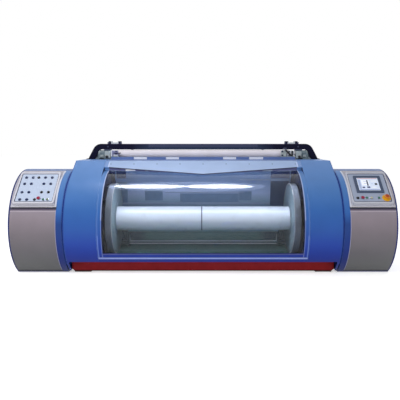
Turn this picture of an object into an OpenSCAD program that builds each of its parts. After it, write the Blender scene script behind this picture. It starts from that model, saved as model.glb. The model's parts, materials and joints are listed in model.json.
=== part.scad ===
// Beam winding headstock of a warp sizing line.
// The warp beam lies across the machine between two bulkheads, behind a visor
// that swings about the axis of the drum-shaped casing.
// X runs along the beam, the operator stands at -Y, +Z is up and the floor is z = 0.

/* [Overall] */
// Radius of the drum-shaped casing
drum_r = 605; // [600:1:612]
// Height of the slice that the floor cuts off the drum
floor_cut = 115; // [108:1:121]

/* [Side cabinets] */
// Width of one side cabinet
cabinet_w = 550; // [545:1:560]
// Thickness of the cabinet's rolled skin
cabinet_skin = 3; // [2:0.5:5]
// Thickness of the cabinet's inner end disc
cabinet_inner_disc = 8; // [6:1:12]
// Thickness of the cabinet's outer end disc
cabinet_outer_disc = 5; // [3:1:8]
// Width of the bare band beside the housing
band_inner = 62; // [60:1:66]
// Width of the bare rim at the outer end
band_outer = 14; // [10:1:18]
// Thickness of the front panels
panel_t = 3; // [2:0.5:4]
// Running width of the ledge that the front panels lie on
panel_ledge = 15; // [10:1:18]
// Joint between a front panel and the rim round it
panel_joint = 1.5; // [0.5:0.5:3]
// Angle of the upper panel's top edge above the horizontal
panel_top_a = 78; // [76:0.5:80]
// Drop from the console's lower edge to the shadow gap under it
console_below = 39; // [36:1:46]
// Height of the shadow gap, along the curve
seam_w = 12; // [8:1:14]
// Height of the lower panel's bottom edge above the floor
panel_foot = 12; // [9:1:20]
// Radius of the upper panel's two upper corners
panel_corner = 26; // [18:1:32]

/* [Consoles] */
// Width of an upper panel left bare on each side of its console
console_side = 25; // [22:1:27]
// Height of a console tray
console_h = 436; // [430:1:440]
// Lean of the console's face from the upright
console_a = 46; // [45.5:0.1:46.5]
// Depth of the console's plate inside the drum's radius
console_set = 5; // [1:1:9]
// Depth of the tray behind its plate
console_depth = 66; // [60:1:80]
// Corner radius of the tray
console_corner = 22; // [16:1:28]
// Width of the raised rim round the plate
rim_w = 15; // [12:1:17]
// Height of the rim above the plate
rim_h = 6; // [4:1:8]
// Thickness of the tray's plate and walls
tray_t = 3; // [2:0.5:4]
// Spacing of the button columns
col_pitch = 72; // [68:1:74]
// Width of the touch screen's bezel
screen_w = 285; // [270:1:295]
// Height of the touch screen's bezel
screen_h = 235; // [225:1:240]
// Height of the bezel above the plate
screen_rise = 8; // [6:1:12]
// Width of the sight area of the screen
display_w = 224; // [200:1:232]
// Height of the sight area of the screen
display_h = 176; // [160:1:184]

/* [Controls] */
// Radius of a button's fixed ring
ring_r = 15; // [14:0.5:16]
// Height of a button's fixed ring
ring_h = 5; // [4:0.5:6]
// Radius of a button's cap
cap_r = 11; // [10:0.5:12]
// Height of a cap above its ring
cap_rise = 6; // [5:0.5:9]
// Travel of a push button
button_travel = 4; // [3:0.5:4]
// Radius of a control's stem
stem_r = 6; // [5:0.5:7]
// Radius of the emergency stop's mushroom head
mushroom_r = 28; // [24:1:30]
// Radius of the plate under the emergency stop
stop_plate_r = 40; // [36:1:42]

/* [Housing] */
// Shadow gap between the housing and a side cabinet
shadow_gap = 14; // [10:1:18]
// Thickness of the housing's sheet
sheet_t = 4; // [3:0.5:5]
// Rise of the housing's flat top over the drum
hood_rise = 96; // [93:1:105]
// Angle at which the front slope leaves the drum
slope_a = 58; // [57.6:0.1:58.6]
// Angle at which the back leaves the drum
back_a = 172.7; // [172:0.1:173.4]
// Width of a housing outside its bulkhead
housing_w = 336; // [332:1:344]
// Depth of the base frame's top below the drum's axis
base_drop = 350; // [346:1:352]
// Height of the cheeks above the floor
cheek_foot = 20; // [12:1:30]
// Width of the cheek's rolled edge beside the kick bar
cheek_edge = 20; // [16:1:24]

/* [Hood] */
// Depth of the sloping hood panel at its ends
hood_end = 124; // [110:1:140]
// Depth of the sloping hood panel at its middle
hood_mid = 260; // [240:1:270]
// Width of the flange that the hood panel is screwed to
hood_flange = 60; // [50:1:80]
// Width of the yarn slot in the hood
slot_w = 160; // [150:1:165]
// Distance of the slot's back edge inside the drum's radius
slot_inset = 105; // [100:1:115]
// Height of the rail along the yarn slot
lip_h = 32; // [26:1:36]
// Depth of the rail along the yarn slot
lip_d = 30; // [24:1:40]

/* [Visor] */
// Thickness of the visor's frame
visor_t = 24; // [20:1:28]
// Angle of the visor's lower edge
visor_low_a = -30; // [-30.4:0.1:-29]
// Angle of the visor's upper edge
visor_high_a = 88; // [84:0.5:90]
// Side clearance between the visor and a bulkhead
visor_gap = 3; // [2:0.5:5]
// Bare width of the visor beside its sight opening
sight_side = 52; // [46:1:60]
// Height of the visor's lower rail, as an angle
visor_rail_a = 5.8; // [5:0.1:7]
// Thickness of the clear pane
pane_t = 6; // [4:0.5:8]
// Width of the rebate that holds the pane
rebate = 28; // [20:1:32]
// Depth of the rebate below the frame's outer face
rebate_depth = 7; // [5:0.5:10]
// Thickness of the curved rail that carries the visor
rail_t = 13; // [10:1:20]
// Reach of the curved rail from its bulkhead
rail_reach = 38; // [30:1:44]

/* [Warp beam] */
// Rise of the warp beam's axis over the drum's
beam_rise = 40; // [36:1:46]
// Outer diameter of the barrel
barrel_d = 270; // [240:1:300]
// Wall of the barrel
barrel_wall = 9; // [6:1:14]
// Diameter of the flanges
flange_d = 800; // [760:1:804]
// Winding width between the flanges, which sets the machine's length
winding_w = 1960; // [1600:10:2400]
// Width of a flange over its rim
flange_w = 68; // [60:1:70]
// Room between a flange and its bulkhead
beam_room = 52; // [48:1:58]
// Thickness of a flange's web
web_t = 16; // [12:1:22]
// Radius of a flange's hub bore
hub_bore_r = 40; // [34:1:44]
// Radius of a flange's hub
hub_r = 95; // [85:1:105]
// Number of stiffening ribs on a flange
flange_ribs = 12; // [8:1:16]

/* [Spindles] */
// Radius of the drive spindle
spindle_r = 45; // [38:1:50]
// Radius of the tail quill
quill_r = 55; // [48:1:60]
// Stroke of the tail quill
quill_stroke = 80; // [75:1:80]
// Radius of the chuck's face plate
chuck_r = 86; // [70:1:92]
// Thickness of a bulkhead
bulkhead_t = 50; // [40:1:60]
// Radius of the lightening holes round a spindle boss
lighten_r = 78; // [60:1:82]
// Distance of those holes from the spindle's axis
lighten_at = 330; // [322:1:334]
// Distance of the upper rear hole inside the drum's radius
high_hole_in = 315; // [300:1:320]
// Rise of the upper rear hole over the drum's axis
high_hole_rise = 360; // [350:1:365]
// Distance of the lower rear hole inside the drum's radius
low_hole_in = 195; // [190:1:205]
// Rise of the lower rear hole over the drum's axis
low_hole_rise = 70; // [60:1:80]
// Reach of a bearing boss from its bulkhead
boss_reach = 80; // [60:1:90]
// Wall of a bearing boss
boss_wall = 55; // [40:1:60]

/* [Belt drive] */
// Distance of the motor's axis behind the beam
motor_y = 220; // [210:1:230]
// Depth of the motor's axis below the beam's
motor_drop = 280; // [272:1:285]
// Radius of the motor's frame
motor_r = 140; // [120:1:150]
// Length of the motor's frame
motor_len = 380; // [340:1:400]
// Radius of the motor's shaft
motor_shaft_r = 24; // [20:1:26]
// Radius of the spindle's pulley
big_pulley_r = 160; // [150:1:170]
// Radius of the motor's pulley
small_pulley_r = 80; // [70:1:85]
// Width of the belt
belt_w = 70; // [60:1:74]
// Thickness of the belt
belt_t = 8; // [6:1:10]
// Distance of the belt's middle from the bulkhead
belt_offset = 210; // [200:1:215]

/* [Press roller] */
// Radius of the press roller
press_r = 80; // [70:1:82]
// Distance of the press roller's axis behind the beam
press_y = 191; // [190:1:200]
// Depth of the press roller's axis below the beam's
press_drop = 110; // [109:1:120]
// Room between a flange and the press roller's end
press_room = 95; // [90:1:120]
// Distance of the arm pivot behind the beam
pivot_y = 300; // [298:1:306]
// Rise of the arm pivot over the base frame
pivot_rise = 47; // [44:1:49]
// Radius of the torque tube between the arms
torque_r = 26; // [22:1:28]
// Thickness of a press arm
arm_t = 20; // [16:1:24]

/* [Guide roller] */
// Radius of the guide roller
guide_r = 48; // [44:1:49]
// Rise of the guide roller's axis over the housing's top
guide_rise = 66; // [64:1:68]
// Distance of the guide roller's axis from the slot's back edge
guide_in = 70; // [65:1:75]
// Room between the guide roller's end and the bulkhead
guide_room = 55; // [45:1:70]
// Radius of the guide roller's journal
journal_r = 20; // [16:1:22]

/* [Crossbar] */
// Rise of the crossbar's underside over the housing's top
crossbar_rise = 118; // [117:1:124]
// Height of the crossbar's section
crossbar_h = 69; // [60:1:75]
// Depth of the crossbar's section
crossbar_d = 50; // [40:1:60]
// Reach of the crossbar's straight part past the bulkhead
crossbar_over = 140; // [100:1:150]
// Slope of the crossbar's end legs below the horizontal
leg_a = 62; // [60:1:66]
// Inner radius of the crossbar's bends
bend_r = 40; // [30:1:50]

/* [Comb] */
// Depth of the comb rail's axis below the housing's top
comb_drop = 101; // [91:1:106]
// Distance of the comb rail from the slot's back edge
comb_in = 92; // [88:1:100]
// Number of comb sections
comb_sections = 26; // [16:2:28]
// Number of needles in a comb section
comb_needles = 6; // [4:1:7]
// Turn of alternate comb sections
comb_turn = 24; // [15:1:28]
// Side travel of the comb each way
comb_travel = 20; // [10:1:20]

/* [Base] */
// Thickness of the foot pads
pad_t = 12; // [10:1:14]
// Depth of a base beam
base_beam_d = 100; // [80:1:110]
// Distance of a base beam's middle from the beam's axis
base_beam_y = 250; // [240:1:255]
// Wall of a base beam
base_wall = 8; // [6:1:10]
// Distance of an anchor hole outside its bulkhead
anchor_out = 200; // [150:1:220]
// Distance of an anchor hole from the machine's middle, across it
anchor_y = 334; // [330:1:340]
// Radius of an anchor hole
anchor_r = 9; // [7:0.5:11]
// Face of the kick bar in front of the beam's axis
kick_y = 370; // [366:1:376]
// Underside of the kick bar
kick_foot = 14; // [13:1:20]
// Clearance over the kick bar
kick_gap = 6; // [4:1:8]
// Inward travel of the kick bar
kick_travel = 10; // [6:1:10]
// Cut corner at the kick bar's lower ends
kick_chamfer = 26; // [10:1:40]
// Distance of the outer guide pins inside the bulkheads
pin_in = 100; // [80:1:150]
// Distance of the inner guide pins from the middle
pin_mid = 350; // [250:1:450]

/* [Fits] */
// Radial clearance of a running fit
fit = 0.05; // [0.02:0.01:0.08]
// Gap between faces that are seated with play
play = 0.3; // [0.2:0.05:0.4]

/* [Hidden] */

$fn = 72;
DRUM_FN = 180;
CUT = 1;

// Colours
BLUE = [0.20, 0.38, 0.72];
PALE_BLUE = [0.45, 0.60, 0.84];
GREY = [0.50, 0.48, 0.49];
PALE_GREY = [0.82, 0.81, 0.80];
CREAM = [0.86, 0.84, 0.80];
RED = [0.48, 0.10, 0.11];
DARK = [0.16, 0.17, 0.22];
STEEL = [0.72, 0.73, 0.75];
CAST = [0.40, 0.46, 0.44];

// Places along the machine, from the beam outwards
flange_x0 = winding_w / 2;
flange_x1 = flange_x0 + flange_w;
bay_x = flange_x1 + beam_room;
housing_x = bay_x + housing_w;
cabinet_x = housing_x + shadow_gap;
half_w = cabinet_x + cabinet_w;
panel_x0 = cabinet_x + band_inner;
panel_x1 = half_w - band_outer;
console_x = (panel_x0 + panel_x1) / 2;
console_w = panel_x1 - panel_x0 - 2 * console_side;
visor_x = bay_x - visor_gap;
sight_w = 2 * (visor_x - sight_side);
press_half = flange_x0 - press_room;
guide_half = bay_x - guide_room;
crossbar_half = bay_x + crossbar_over;
anchor_x = bay_x + anchor_out;
bulkhead_x1 = bay_x + bulkhead_t;
belt_x = bay_x + belt_offset;
kick_x = housing_x - cheek_edge - 4;

// Heights and depths, from the drum
drum_z = drum_r - floor_cut;
top_z = drum_z + drum_r + hood_rise;
base_top = drum_z - base_drop;
beam_z = drum_z + beam_rise;
console_d = drum_r - console_set;
motor_z = beam_z - motor_drop;
press_z = beam_z - press_drop;
pivot_z = base_top + pivot_rise;
slot_back = drum_r - slot_inset;
slot_front = slot_back - slot_w;
guide_y = slot_back - guide_in;
guide_z = top_z + guide_rise;
crossbar_z = top_z + crossbar_rise;
comb_y = slot_back - comb_in;
comb_z = top_z - comb_drop;

// Angles on the drum, counted up from the front
seam_a = console_a - atan((console_h / 2 + console_below) / console_d);
seam_half_a = seam_w / 2 / drum_r * 180 / PI;
panel_low_a = -asin((drum_z - panel_foot) / drum_r);
visor_r = drum_r - visor_t;
rail_r = visor_r - play;
sill_high_a = visor_low_a - 0.4;
pane_r = drum_r - rebate_depth;
rebate_a = rebate / drum_r * 180 / PI;

// Point on the drum of radius r at an angle, in the YZ plane
function on_drum(a, r) = [-r * cos(a), drum_z + r * sin(a)];

// Y of the corner where the line that leaves the drum at angle a meets the top,
// for an outline that lies t inside the outer face
function corner_y(a, t) = -((drum_r - t) - (top_z - t - drum_z) * sin(a)) / cos(a);

// Points along the drum's curve from one angle to another
function arc_points(r, a0, a1, steps) = [for (i = [0 : steps]) on_drum(a0 + (a1 - a0) * i / steps, r)];

// Unit vector at an angle, for tangent points
function unit(a) = [cos(a), sin(a)];

// Sweeps an outline of the YZ plane along X
module along_x(x0, x1) {
    translate([x0, 0, 0])
    rotate([90, 0, 90])
    linear_extrude(x1 - x0)
    children();
}

// Round bar along X, centred on (y, z)
module bar_x(y, z, r, x0, x1) {
    translate([x0, y, z])
    rotate([0, 90, 0])
    cylinder(r = r, h = x1 - x0);
}

// Repeats what it holds on the other side of the machine
module left_side() {
    mirror([1, 0, 0]) children();
}

module drum_disc(r) {
    translate([0, drum_z]) circle(r, $fn = DRUM_FN);
}

// Sector of the drum between two angles
module sector(a0, a1) {
    steps = 6;
    rim = [for (i = [0 : steps]) on_drum(a0 + (a1 - a0) * i / steps, 2 * drum_r)];
    polygon(concat([[0, drum_z]], rim));
}

// Part of a ring between two radii and two angles
module arc_band(r0, r1, a0, a1) {
    intersection() {
        difference() {
            drum_disc(r1);
            drum_disc(r0);
        }
        sector(a0, a1);
    }
}

// Everything above a height
module above(z) {
    translate([-2 * drum_r, z]) square([4 * drum_r, 4 * drum_r]);
}

// Side cabinet's outline: a drum cut by the floor, t inside its outer face
module drum_outline(t) {
    intersection() {
        drum_disc(drum_r - t);
        above(t);
    }
}

// Housing's outline: the drum with the raised hood on it, t inside its outer face
module hood_outline(t) {
    drum_disc(drum_r - t);
    polygon([
        [0, drum_z],
        on_drum(slope_a, drum_r - t),
        [corner_y(slope_a, t), top_z - t],
        [corner_y(back_a, t), top_z - t],
        on_drum(back_a, drum_r - t)
    ]);
}

// The same outline as one list of points, for plates that fill it
function hood_points(t) = concat(
    [[corner_y(slope_a, t), top_z - t], [corner_y(back_a, t), top_z - t]],
    arc_points(drum_r - t, back_a, 360 + slope_a, 82)
);

// Sheet skin of the housing
module hood_skin() {
    difference() {
        hood_outline(0);
        hood_outline(sheet_t);
    }
}

// Outline of a loop round two circles as a list of points
function loop_points(c1, r1, c2, r2) =
    let (
        d = c2 - c1,
        lean = atan2(d[1], d[0]),
        spread = acos((r1 - r2) / norm(d)),
        steps = 36
    )
    concat(
        [for (i = [0 : steps]) c1 + r1 * unit(lean + spread + (360 - 2 * spread) * i / steps)],
        [for (i = [0 : steps]) c2 + r2 * unit(lean - spread + 2 * spread * i / steps)]
    );

// Plate in the shape of a strap round two circles
module strap(c1, r1, c2, r2) {
    d = c2 - c1;
    lean = atan2(d[1], d[0]);
    spread = acos((r1 - r2) / norm(d));
    translate(c1) circle(r1);
    translate(c2) circle(r2);
    polygon([
        c1 + r1 * unit(lean + spread),
        c2 + r2 * unit(lean + spread),
        c2 + r2 * unit(lean - spread),
        c1 + r1 * unit(lean - spread)
    ]);
}

// Rectangle with rounded corners, centred
module rounded_rect(w, h, r) {
    square([w - 2 * r, h], center = true);
    square([w, h - 2 * r], center = true);
    for (sx = [-1, 1], sy = [-1, 1])
        translate([sx * (w / 2 - r), sy * (h / 2 - r)]) circle(r);
}

// Block of rounded plan between two heights
module rounded_block(w, h, r, z0, z1) {
    translate([0, 0, z0]) linear_extrude(z1 - z0) rounded_rect(w, h, r);
}

// Puts its children on a console's plate: X to the right, Y up the plate, Z outwards
module on_console(side) {
    translate([side * console_x, 0, drum_z])
    rotate([90 - console_a, 0, 0])
    translate([0, 0, console_d])
    children();
}

// ---- Base frame -------------------------------------------------------------

beam_half = housing_x - sheet_t - 2;
pin_x = [-bay_x + pin_in, -pin_mid, pin_mid, bay_x - pin_in];
pin_z = (kick_foot + base_top) / 2;
pin_r = 8;
pin_tip = kick_y - kick_travel - 6;

module base_beam(y) {
    low = pad_t;
    h = base_top - pad_t;
    translate([-beam_half, y - base_beam_d / 2, low])
    difference() {
        cube([2 * beam_half, base_beam_d, h]);
        translate([-CUT, base_wall, base_wall])
        cube([2 * beam_half + 2 * CUT, base_beam_d - 2 * base_wall, h - 2 * base_wall]);
    }
}

module base_cross(x0, x1) {
    inner = base_beam_y - base_beam_d / 2;
    translate([x0, -inner, pad_t]) cube([x1 - x0, 2 * inner, base_top - pad_t]);
}

module foot_pad(sx, sy) {
    pad_w = 180;
    pad_y0 = base_beam_y - base_beam_d / 2;
    pad_y1 = anchor_y + 24;
    mirror([0, sy < 0 ? 1 : 0, 0])
    translate([sx * anchor_x - pad_w / 2, pad_y0, 0])
    cube([pad_w, pad_y1 - pad_y0, pad_t]);
}

module base_frame() {
    cross_w = 90;
    color(DARK) {
        difference() {
            union() {
                for (s = [-1, 1]) {
                    base_beam(s * base_beam_y);
                    for (sx = [-1, 1]) foot_pad(sx, s);
                }
                base_cross(-cross_w / 2, cross_w / 2);
                base_cross(bay_x - 20, bay_x - 20 + cross_w);
                base_cross(-bay_x + 20 - cross_w, -bay_x + 20);
            }
            for (sx = [-1, 1], sy = [-1, 1])
                translate([sx * anchor_x, sy * anchor_y, -CUT])
                cylinder(r = anchor_r, h = pad_t + 2 * CUT);
        }
        // Guide pins of the kick bar
        for (x = pin_x)
            translate([x, -(base_beam_y + base_beam_d / 2), pin_z])
            rotate([90, 0, 0])
            cylinder(r = pin_r, h = pin_tip - base_beam_y - base_beam_d / 2);
    }
}

module kick_bar() {
    wall = 4;
    lip = 14;
    high = base_top - kick_gap;
    boss_r = 15;
    boss_end = kick_y - kick_travel - 26;
    color(RED)
    difference() {
        union() {
            translate([0, -kick_y + wall, 0])
            rotate([90, 0, 0])
            linear_extrude(wall)
            polygon([
                [-kick_x, high], [-kick_x, kick_foot + kick_chamfer],
                [-kick_x + kick_chamfer, kick_foot], [kick_x - kick_chamfer, kick_foot],
                [kick_x, kick_foot + kick_chamfer], [kick_x, high]
            ]);
            translate([-kick_x, -kick_y, high - wall]) cube([2 * kick_x, lip, wall]);
            translate([-kick_x + kick_chamfer, -kick_y, kick_foot])
            cube([2 * (kick_x - kick_chamfer), lip, wall]);
            for (x = pin_x)
                translate([x, -boss_end, pin_z]) rotate([90, 0, 0])
                cylinder(r = boss_r, h = kick_y - wall / 2 - boss_end);
        }
        for (x = pin_x)
            translate([x, -boss_end + CUT, pin_z]) rotate([90, 0, 0])
            cylinder(r = pin_r + fit, h = kick_y - wall - boss_end + CUT);
    }
}

// ---- Bulkheads --------------------------------------------------------------

// Bulkhead on the right side; hub_r0 is the bore of its spindle boss
module bulkhead(hub_r0) {
    boss_r = hub_r0 + boss_wall;
    difference() {
        union() {
            along_x(bay_x, bulkhead_x1)
            intersection() {
                polygon(hood_points(sheet_t + play));
                above(base_top);
            }
            bar_x(0, beam_z, boss_r, bay_x, bulkhead_x1 + boss_reach);
            along_x(bay_x - rail_reach, bay_x + CUT)
            arc_band(rail_r - rail_t, rail_r, visor_low_a + 1, 150);
        }
        bar_x(0, beam_z, hub_r0 + fit, bay_x - CUT, bulkhead_x1 + boss_reach + CUT);
        bar_x(pivot_y, pivot_z, torque_r - 6 + fit, bay_x - CUT, bulkhead_x1 + CUT);
        bar_x(comb_y, comb_z, comb_pin_r + fit, bay_x - CUT, bulkhead_x1 + CUT);
        // Lightening holes round the boss
        for (a = [-62, -20, 22, 64, 106])
            translate([0, -lighten_at * cos(a), lighten_at * sin(a)])
            bar_x(0, beam_z, lighten_r, bay_x - CUT, bulkhead_x1 + CUT);
        for (hole = [[high_hole_in, high_hole_rise, lighten_r - 3], [low_hole_in, low_hole_rise, lighten_r + 12]])
            bar_x(drum_r - hole[0], drum_z + hole[1], hole[2], bay_x - CUT, bulkhead_x1 + CUT);
    }
}

module bulkhead_left() {
    color(DARK) left_side() bulkhead(spindle_r);
}

module bulkhead_right() {
    color(DARK) bulkhead(quill_r);
}

// ---- Side cabinets ----------------------------------------------------------

recess_r = drum_r - panel_t;
shaft_hole_r = motor_shaft_r + 8;

// Plan of the front panels with two rounded upper corners, seen square on to its top edge
module panel_plan(inset) {
    r = panel_corner - inset;
    low = 2 * drum_r;
    x0 = panel_x0 + inset;
    x1 = panel_x1 - inset;
    translate([0, 0, drum_z])
    rotate([90 - panel_top_a, 0, 0])
    translate([0, 0, -drum_r - 50])
    linear_extrude(2 * drum_r + 100) {
        translate([x0, -low]) square([x1 - x0, low - inset - r]);
        translate([x0 + r, -low]) square([x1 - x0 - 2 * r, low - inset]);
        for (x = [x0 + r, x1 - r]) translate([x, -inset - r]) circle(r);
    }
}

module cabinet() {
    ledge_a = panel_ledge / drum_r * 180 / PI;
    color(BLUE)
    difference() {
        along_x(cabinet_x, half_w) drum_outline(0);
        along_x(cabinet_x + cabinet_inner_disc, half_w - cabinet_outer_disc)
        drum_outline(cabinet_skin + panel_t);
        // Recess that the front panels lie in
        intersection() {
            along_x(panel_x0 - 5, panel_x1 + 5)
            arc_band(recess_r, drum_r + CUT, panel_low_a, panel_top_a + 2);
            panel_plan(0);
        }
        // Opening behind the panels
        along_x(panel_x0 + panel_ledge, panel_x1 - panel_ledge)
        arc_band(drum_r - 30, drum_r + CUT, panel_low_a + ledge_a, panel_top_a - ledge_a);
    }
}

module cabinet_left() {
    difference() {
        left_side() cabinet();
        bar_x(motor_y, motor_z, shaft_hole_r, -cabinet_x - cabinet_inner_disc - CUT, -cabinet_x + CUT);
    }
}

module cabinet_right() {
    cabinet();
}

// Rolled sheet that lies in the cabinet's recess between two angles
module rolled_panel(a0, a1) {
    joint_a = panel_joint / drum_r * 180 / PI;
    along_x(panel_x0 + panel_joint, panel_x1 - panel_joint)
    arc_band(recess_r + play, drum_r, a0 + joint_a, a1 - joint_a);
}

module lower_panel() {
    color(GREY) rolled_panel(panel_low_a, seam_a - seam_half_a);
}

module upper_panel() {
    color(GREY)
    difference() {
        intersection() {
            along_x(panel_x0 - 5, panel_x1 + 5)
            arc_band(recess_r + play, drum_r, seam_a + seam_half_a, panel_top_a + 2);
            panel_plan(panel_joint);
        }
        on_console(1)
        rounded_block(console_w + 2 * play, console_h + 2 * play, console_corner + play, -150, 100);
    }
}

module lower_panel_left() {
    left_side() lower_panel();
}

module lower_panel_right() {
    lower_panel();
}

module upper_panel_left() {
    left_side() upper_panel();
}

module upper_panel_right() {
    upper_panel();
}

// ---- Consoles ---------------------------------------------------------------

// Button places on the left plate, from the plate's middle
left_bank = -2 * col_pitch;
right_bank = 60;
rows = [138, 50, -67, -166];
cols = [left_bank, left_bank + col_pitch, right_bank, right_bank + col_pitch];
left_button_at = [
    [cols[0], rows[0]], [cols[1], rows[0]], [cols[2], rows[0]], [cols[3], rows[0]],
    [cols[0], rows[1]], [cols[1], rows[1]], [cols[2], rows[1]], [cols[3], rows[1]],
    [cols[0], rows[2]], [cols[1], rows[2]],
    [cols[0], rows[3]], [cols[1], rows[3]]
];
left_selector_at = [[-12, rows[0]], [cols[2], rows[2]], [cols[3], rows[2]], [8, rows[3]]];
left_stop_at = [46, rows[3] + 15];
left_start_at = [100, rows[3]];
left_ready_at = [143, rows[3]];

// Control places on the right plate
right_row = -144;
right_selector_at = [-147, right_row];
right_stop_at = [-97, right_row];
right_start_at = [-55, right_row];
right_ready_at = [-5, right_row];
right_reset_at = [71, right_row];
emergency_at = [149, right_row];
screen_at = [2, 42];
screen_box_d = 48;
screen_margin = 14;

// Fixed ring and guide bush of one control
module control_seat(at) {
    translate([at[0], at[1], 0]) {
        cylinder(r = ring_r, h = ring_h);
        translate([0, 0, -12]) cylinder(r = stem_r + 4, h = 12);
    }
}

module control_bore(at) {
    translate([at[0], at[1], 0]) {
        translate([0, 0, -12 - CUT]) cylinder(r = stem_r + fit, h = 12 + ring_h);
        cylinder(r = cap_r + 0.2, h = ring_h + CUT);
    }
}

// Pressed tray with a raised rim, a shadow groove and the plate inside it
module tray() {
    groove = 3;
    inner_w = console_w - 2 * rim_w;
    inner_h = console_h - 2 * rim_w;
    inner_r = console_corner - 8;
    difference() {
        rounded_block(console_w, console_h, console_corner, -console_depth, rim_h);
        rounded_block(console_w - 2 * tray_t, console_h - 2 * tray_t, console_corner - tray_t,
            -console_depth - CUT, -tray_t - 2);
        rounded_block(inner_w, inner_h, inner_r, -2, rim_h + CUT);
    }
    rounded_block(inner_w - 2 * groove, inner_h - 2 * groove, inner_r - groove, -tray_t, 0);
}

module console_left() {
    seats = concat(left_button_at, left_selector_at, [left_stop_at, left_start_at, left_ready_at]);
    color(CREAM)
    on_console(-1)
    difference() {
        union() {
            tray();
            for (at = seats) control_seat(at);
        }
        for (at = seats) control_bore(at);
    }
}

module console_right() {
    seats = [right_selector_at, right_stop_at, right_start_at, right_ready_at, right_reset_at];
    color(CREAM)
    on_console(1)
    difference() {
        union() {
            tray();
            for (at = seats) control_seat(at);
            translate([emergency_at[0], emergency_at[1], 0]) {
                cylinder(r = stop_plate_r, h = 3);
                cylinder(r = ring_r + 3, h = 12);
                translate([0, 0, -12]) cylinder(r = stem_r + 6, h = 12);
            }
        }
        for (at = seats) control_bore(at);
        translate([emergency_at[0], emergency_at[1], -12 - CUT])
        cylinder(r = stem_r + 2 + fit, h = 12 + 12 + 2 * CUT);
        translate([screen_at[0], screen_at[1], -tray_t - 2 - CUT])
        linear_extrude(tray_t + 2 + 2 * CUT)
        square([
            screen_w - 2 * screen_margin + 2 * play,
            screen_h - 2 * screen_margin + 2 * play
        ], center = true);
    }
}

module touch_screen() {
    display_depth = 2;
    color(DARK)
    on_console(1)
    translate([screen_at[0], screen_at[1], 0])
    difference() {
        union() {
            rounded_block(screen_w, screen_h, 8, 0, screen_rise);
            rounded_block(screen_w - 2 * screen_margin, screen_h - 2 * screen_margin, 4, -screen_box_d, 1);
        }
        rounded_block(display_w, display_h, 3, screen_rise - display_depth, screen_rise + CUT);
    }
}

// ---- Controls ---------------------------------------------------------------

// Push cap that dips into its ring
module button(side, at, colour) {
    color(colour)
    on_console(side)
    translate([at[0], at[1], 0]) {
        translate([0, 0, button_travel + 0.5])
        cylinder(r = cap_r, h = ring_h + cap_rise - button_travel - 0.5);
        translate([0, 0, -16]) cylinder(r = stem_r, h = 16 + button_travel + 0.5);
    }
}

// Round knob with a pointer grip across it
module selector(side, at) {
    grip_w = 7;
    grip_h = 9;
    color(DARK)
    on_console(side)
    translate([at[0], at[1], 0]) {
        translate([0, 0, 1]) cylinder(r = cap_r, h = ring_h + 3);
        translate([-grip_w / 2, -cap_r + 1, ring_h + 4]) cube([grip_w, 2 * cap_r - 2, grip_h]);
        translate([0, 0, -16]) cylinder(r = stem_r, h = 17);
    }
}

module left_button(i) {
    button(-1, left_button_at[i - 1], [0.16, 0.30, 0.62]);
}

module left_selector(i) {
    selector(-1, left_selector_at[i - 1]);
}

module left_stop_button() {
    button(-1, left_stop_at, [0.70, 0.10, 0.18]);
}

module left_start_button() {
    button(-1, left_start_at, [0.10, 0.50, 0.25]);
}

module left_ready_button() {
    button(-1, left_ready_at, [0.85, 0.86, 0.80]);
}

module right_selector() {
    selector(1, right_selector_at);
}

module right_stop_button() {
    button(1, right_stop_at, [0.72, 0.10, 0.16]);
}

module right_start_button() {
    button(1, right_start_at, [0.10, 0.50, 0.25]);
}

module right_ready_button() {
    button(1, right_ready_at, [0.85, 0.82, 0.70]);
}

module right_reset_button() {
    button(1, right_reset_at, [0.10, 0.52, 0.30]);
}

module emergency_stop() {
    neck = 20;
    color([0.85, 0.22, 0.08])
    on_console(1)
    translate([emergency_at[0], emergency_at[1], 0]) {
        translate([0, 0, -20]) cylinder(r = stem_r + 2, h = 20 + neck);
        translate([0, 0, neck])
        rotate_extrude()
        polygon([
            [0, 0], [mushroom_r - 4, 0], [mushroom_r, 4], [mushroom_r, 9],
            [mushroom_r - 4, 14], [mushroom_r - 12, 17], [0, 18]
        ]);
    }
}

// ---- Housing ----------------------------------------------------------------

module housing() {
    edge_x = housing_x - cheek_edge;
    color(BLUE) {
        along_x(bay_x, housing_x)
        intersection() {
            hood_skin();
            above(base_top);
        }
        along_x(edge_x, housing_x)
        intersection() {
            hood_skin();
            above(cheek_foot);
        }
    }
}

// Cheek that closes the housing beside its cabinet
module cheek() {
    color(BLUE)
    along_x(housing_x - sheet_t, housing_x)
    intersection() {
        hood_outline(0);
        above(cheek_foot);
    }
}

// Distance bushes between the housing and its side cabinet
module bushes() {
    color(BLUE)
    for (yz = [[-430, 640], [-430, 340], [430, 640], [430, 340]])
        bar_x(yz[0], yz[1], 22, housing_x - 1, cabinet_x);
}

module housing_left() {
    color(BLUE)
    difference() {
        left_side() {
            housing();
            cheek();
            bushes();
        }
        bar_x(motor_y, motor_z, shaft_hole_r, -housing_x - CUT, -housing_x + sheet_t + CUT);
    }
}

module housing_right() {
    housing();
    cheek();
    bushes();
}

module front_sill() {
    seat_y = base_beam_y - base_beam_d / 2;
    front_y = sqrt(pow(drum_r, 2) - pow(drum_z - base_top, 2));
    color(BLUE)
    along_x(-bay_x + play, bay_x - play) {
        intersection() {
            arc_band(drum_r - sheet_t, drum_r, -60, sill_high_a);
            above(base_top);
        }
        translate([-front_y + 1, base_top]) square([front_y - 1 - seat_y, sheet_t]);
    }
}

// ---- Hood -------------------------------------------------------------------

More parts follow.
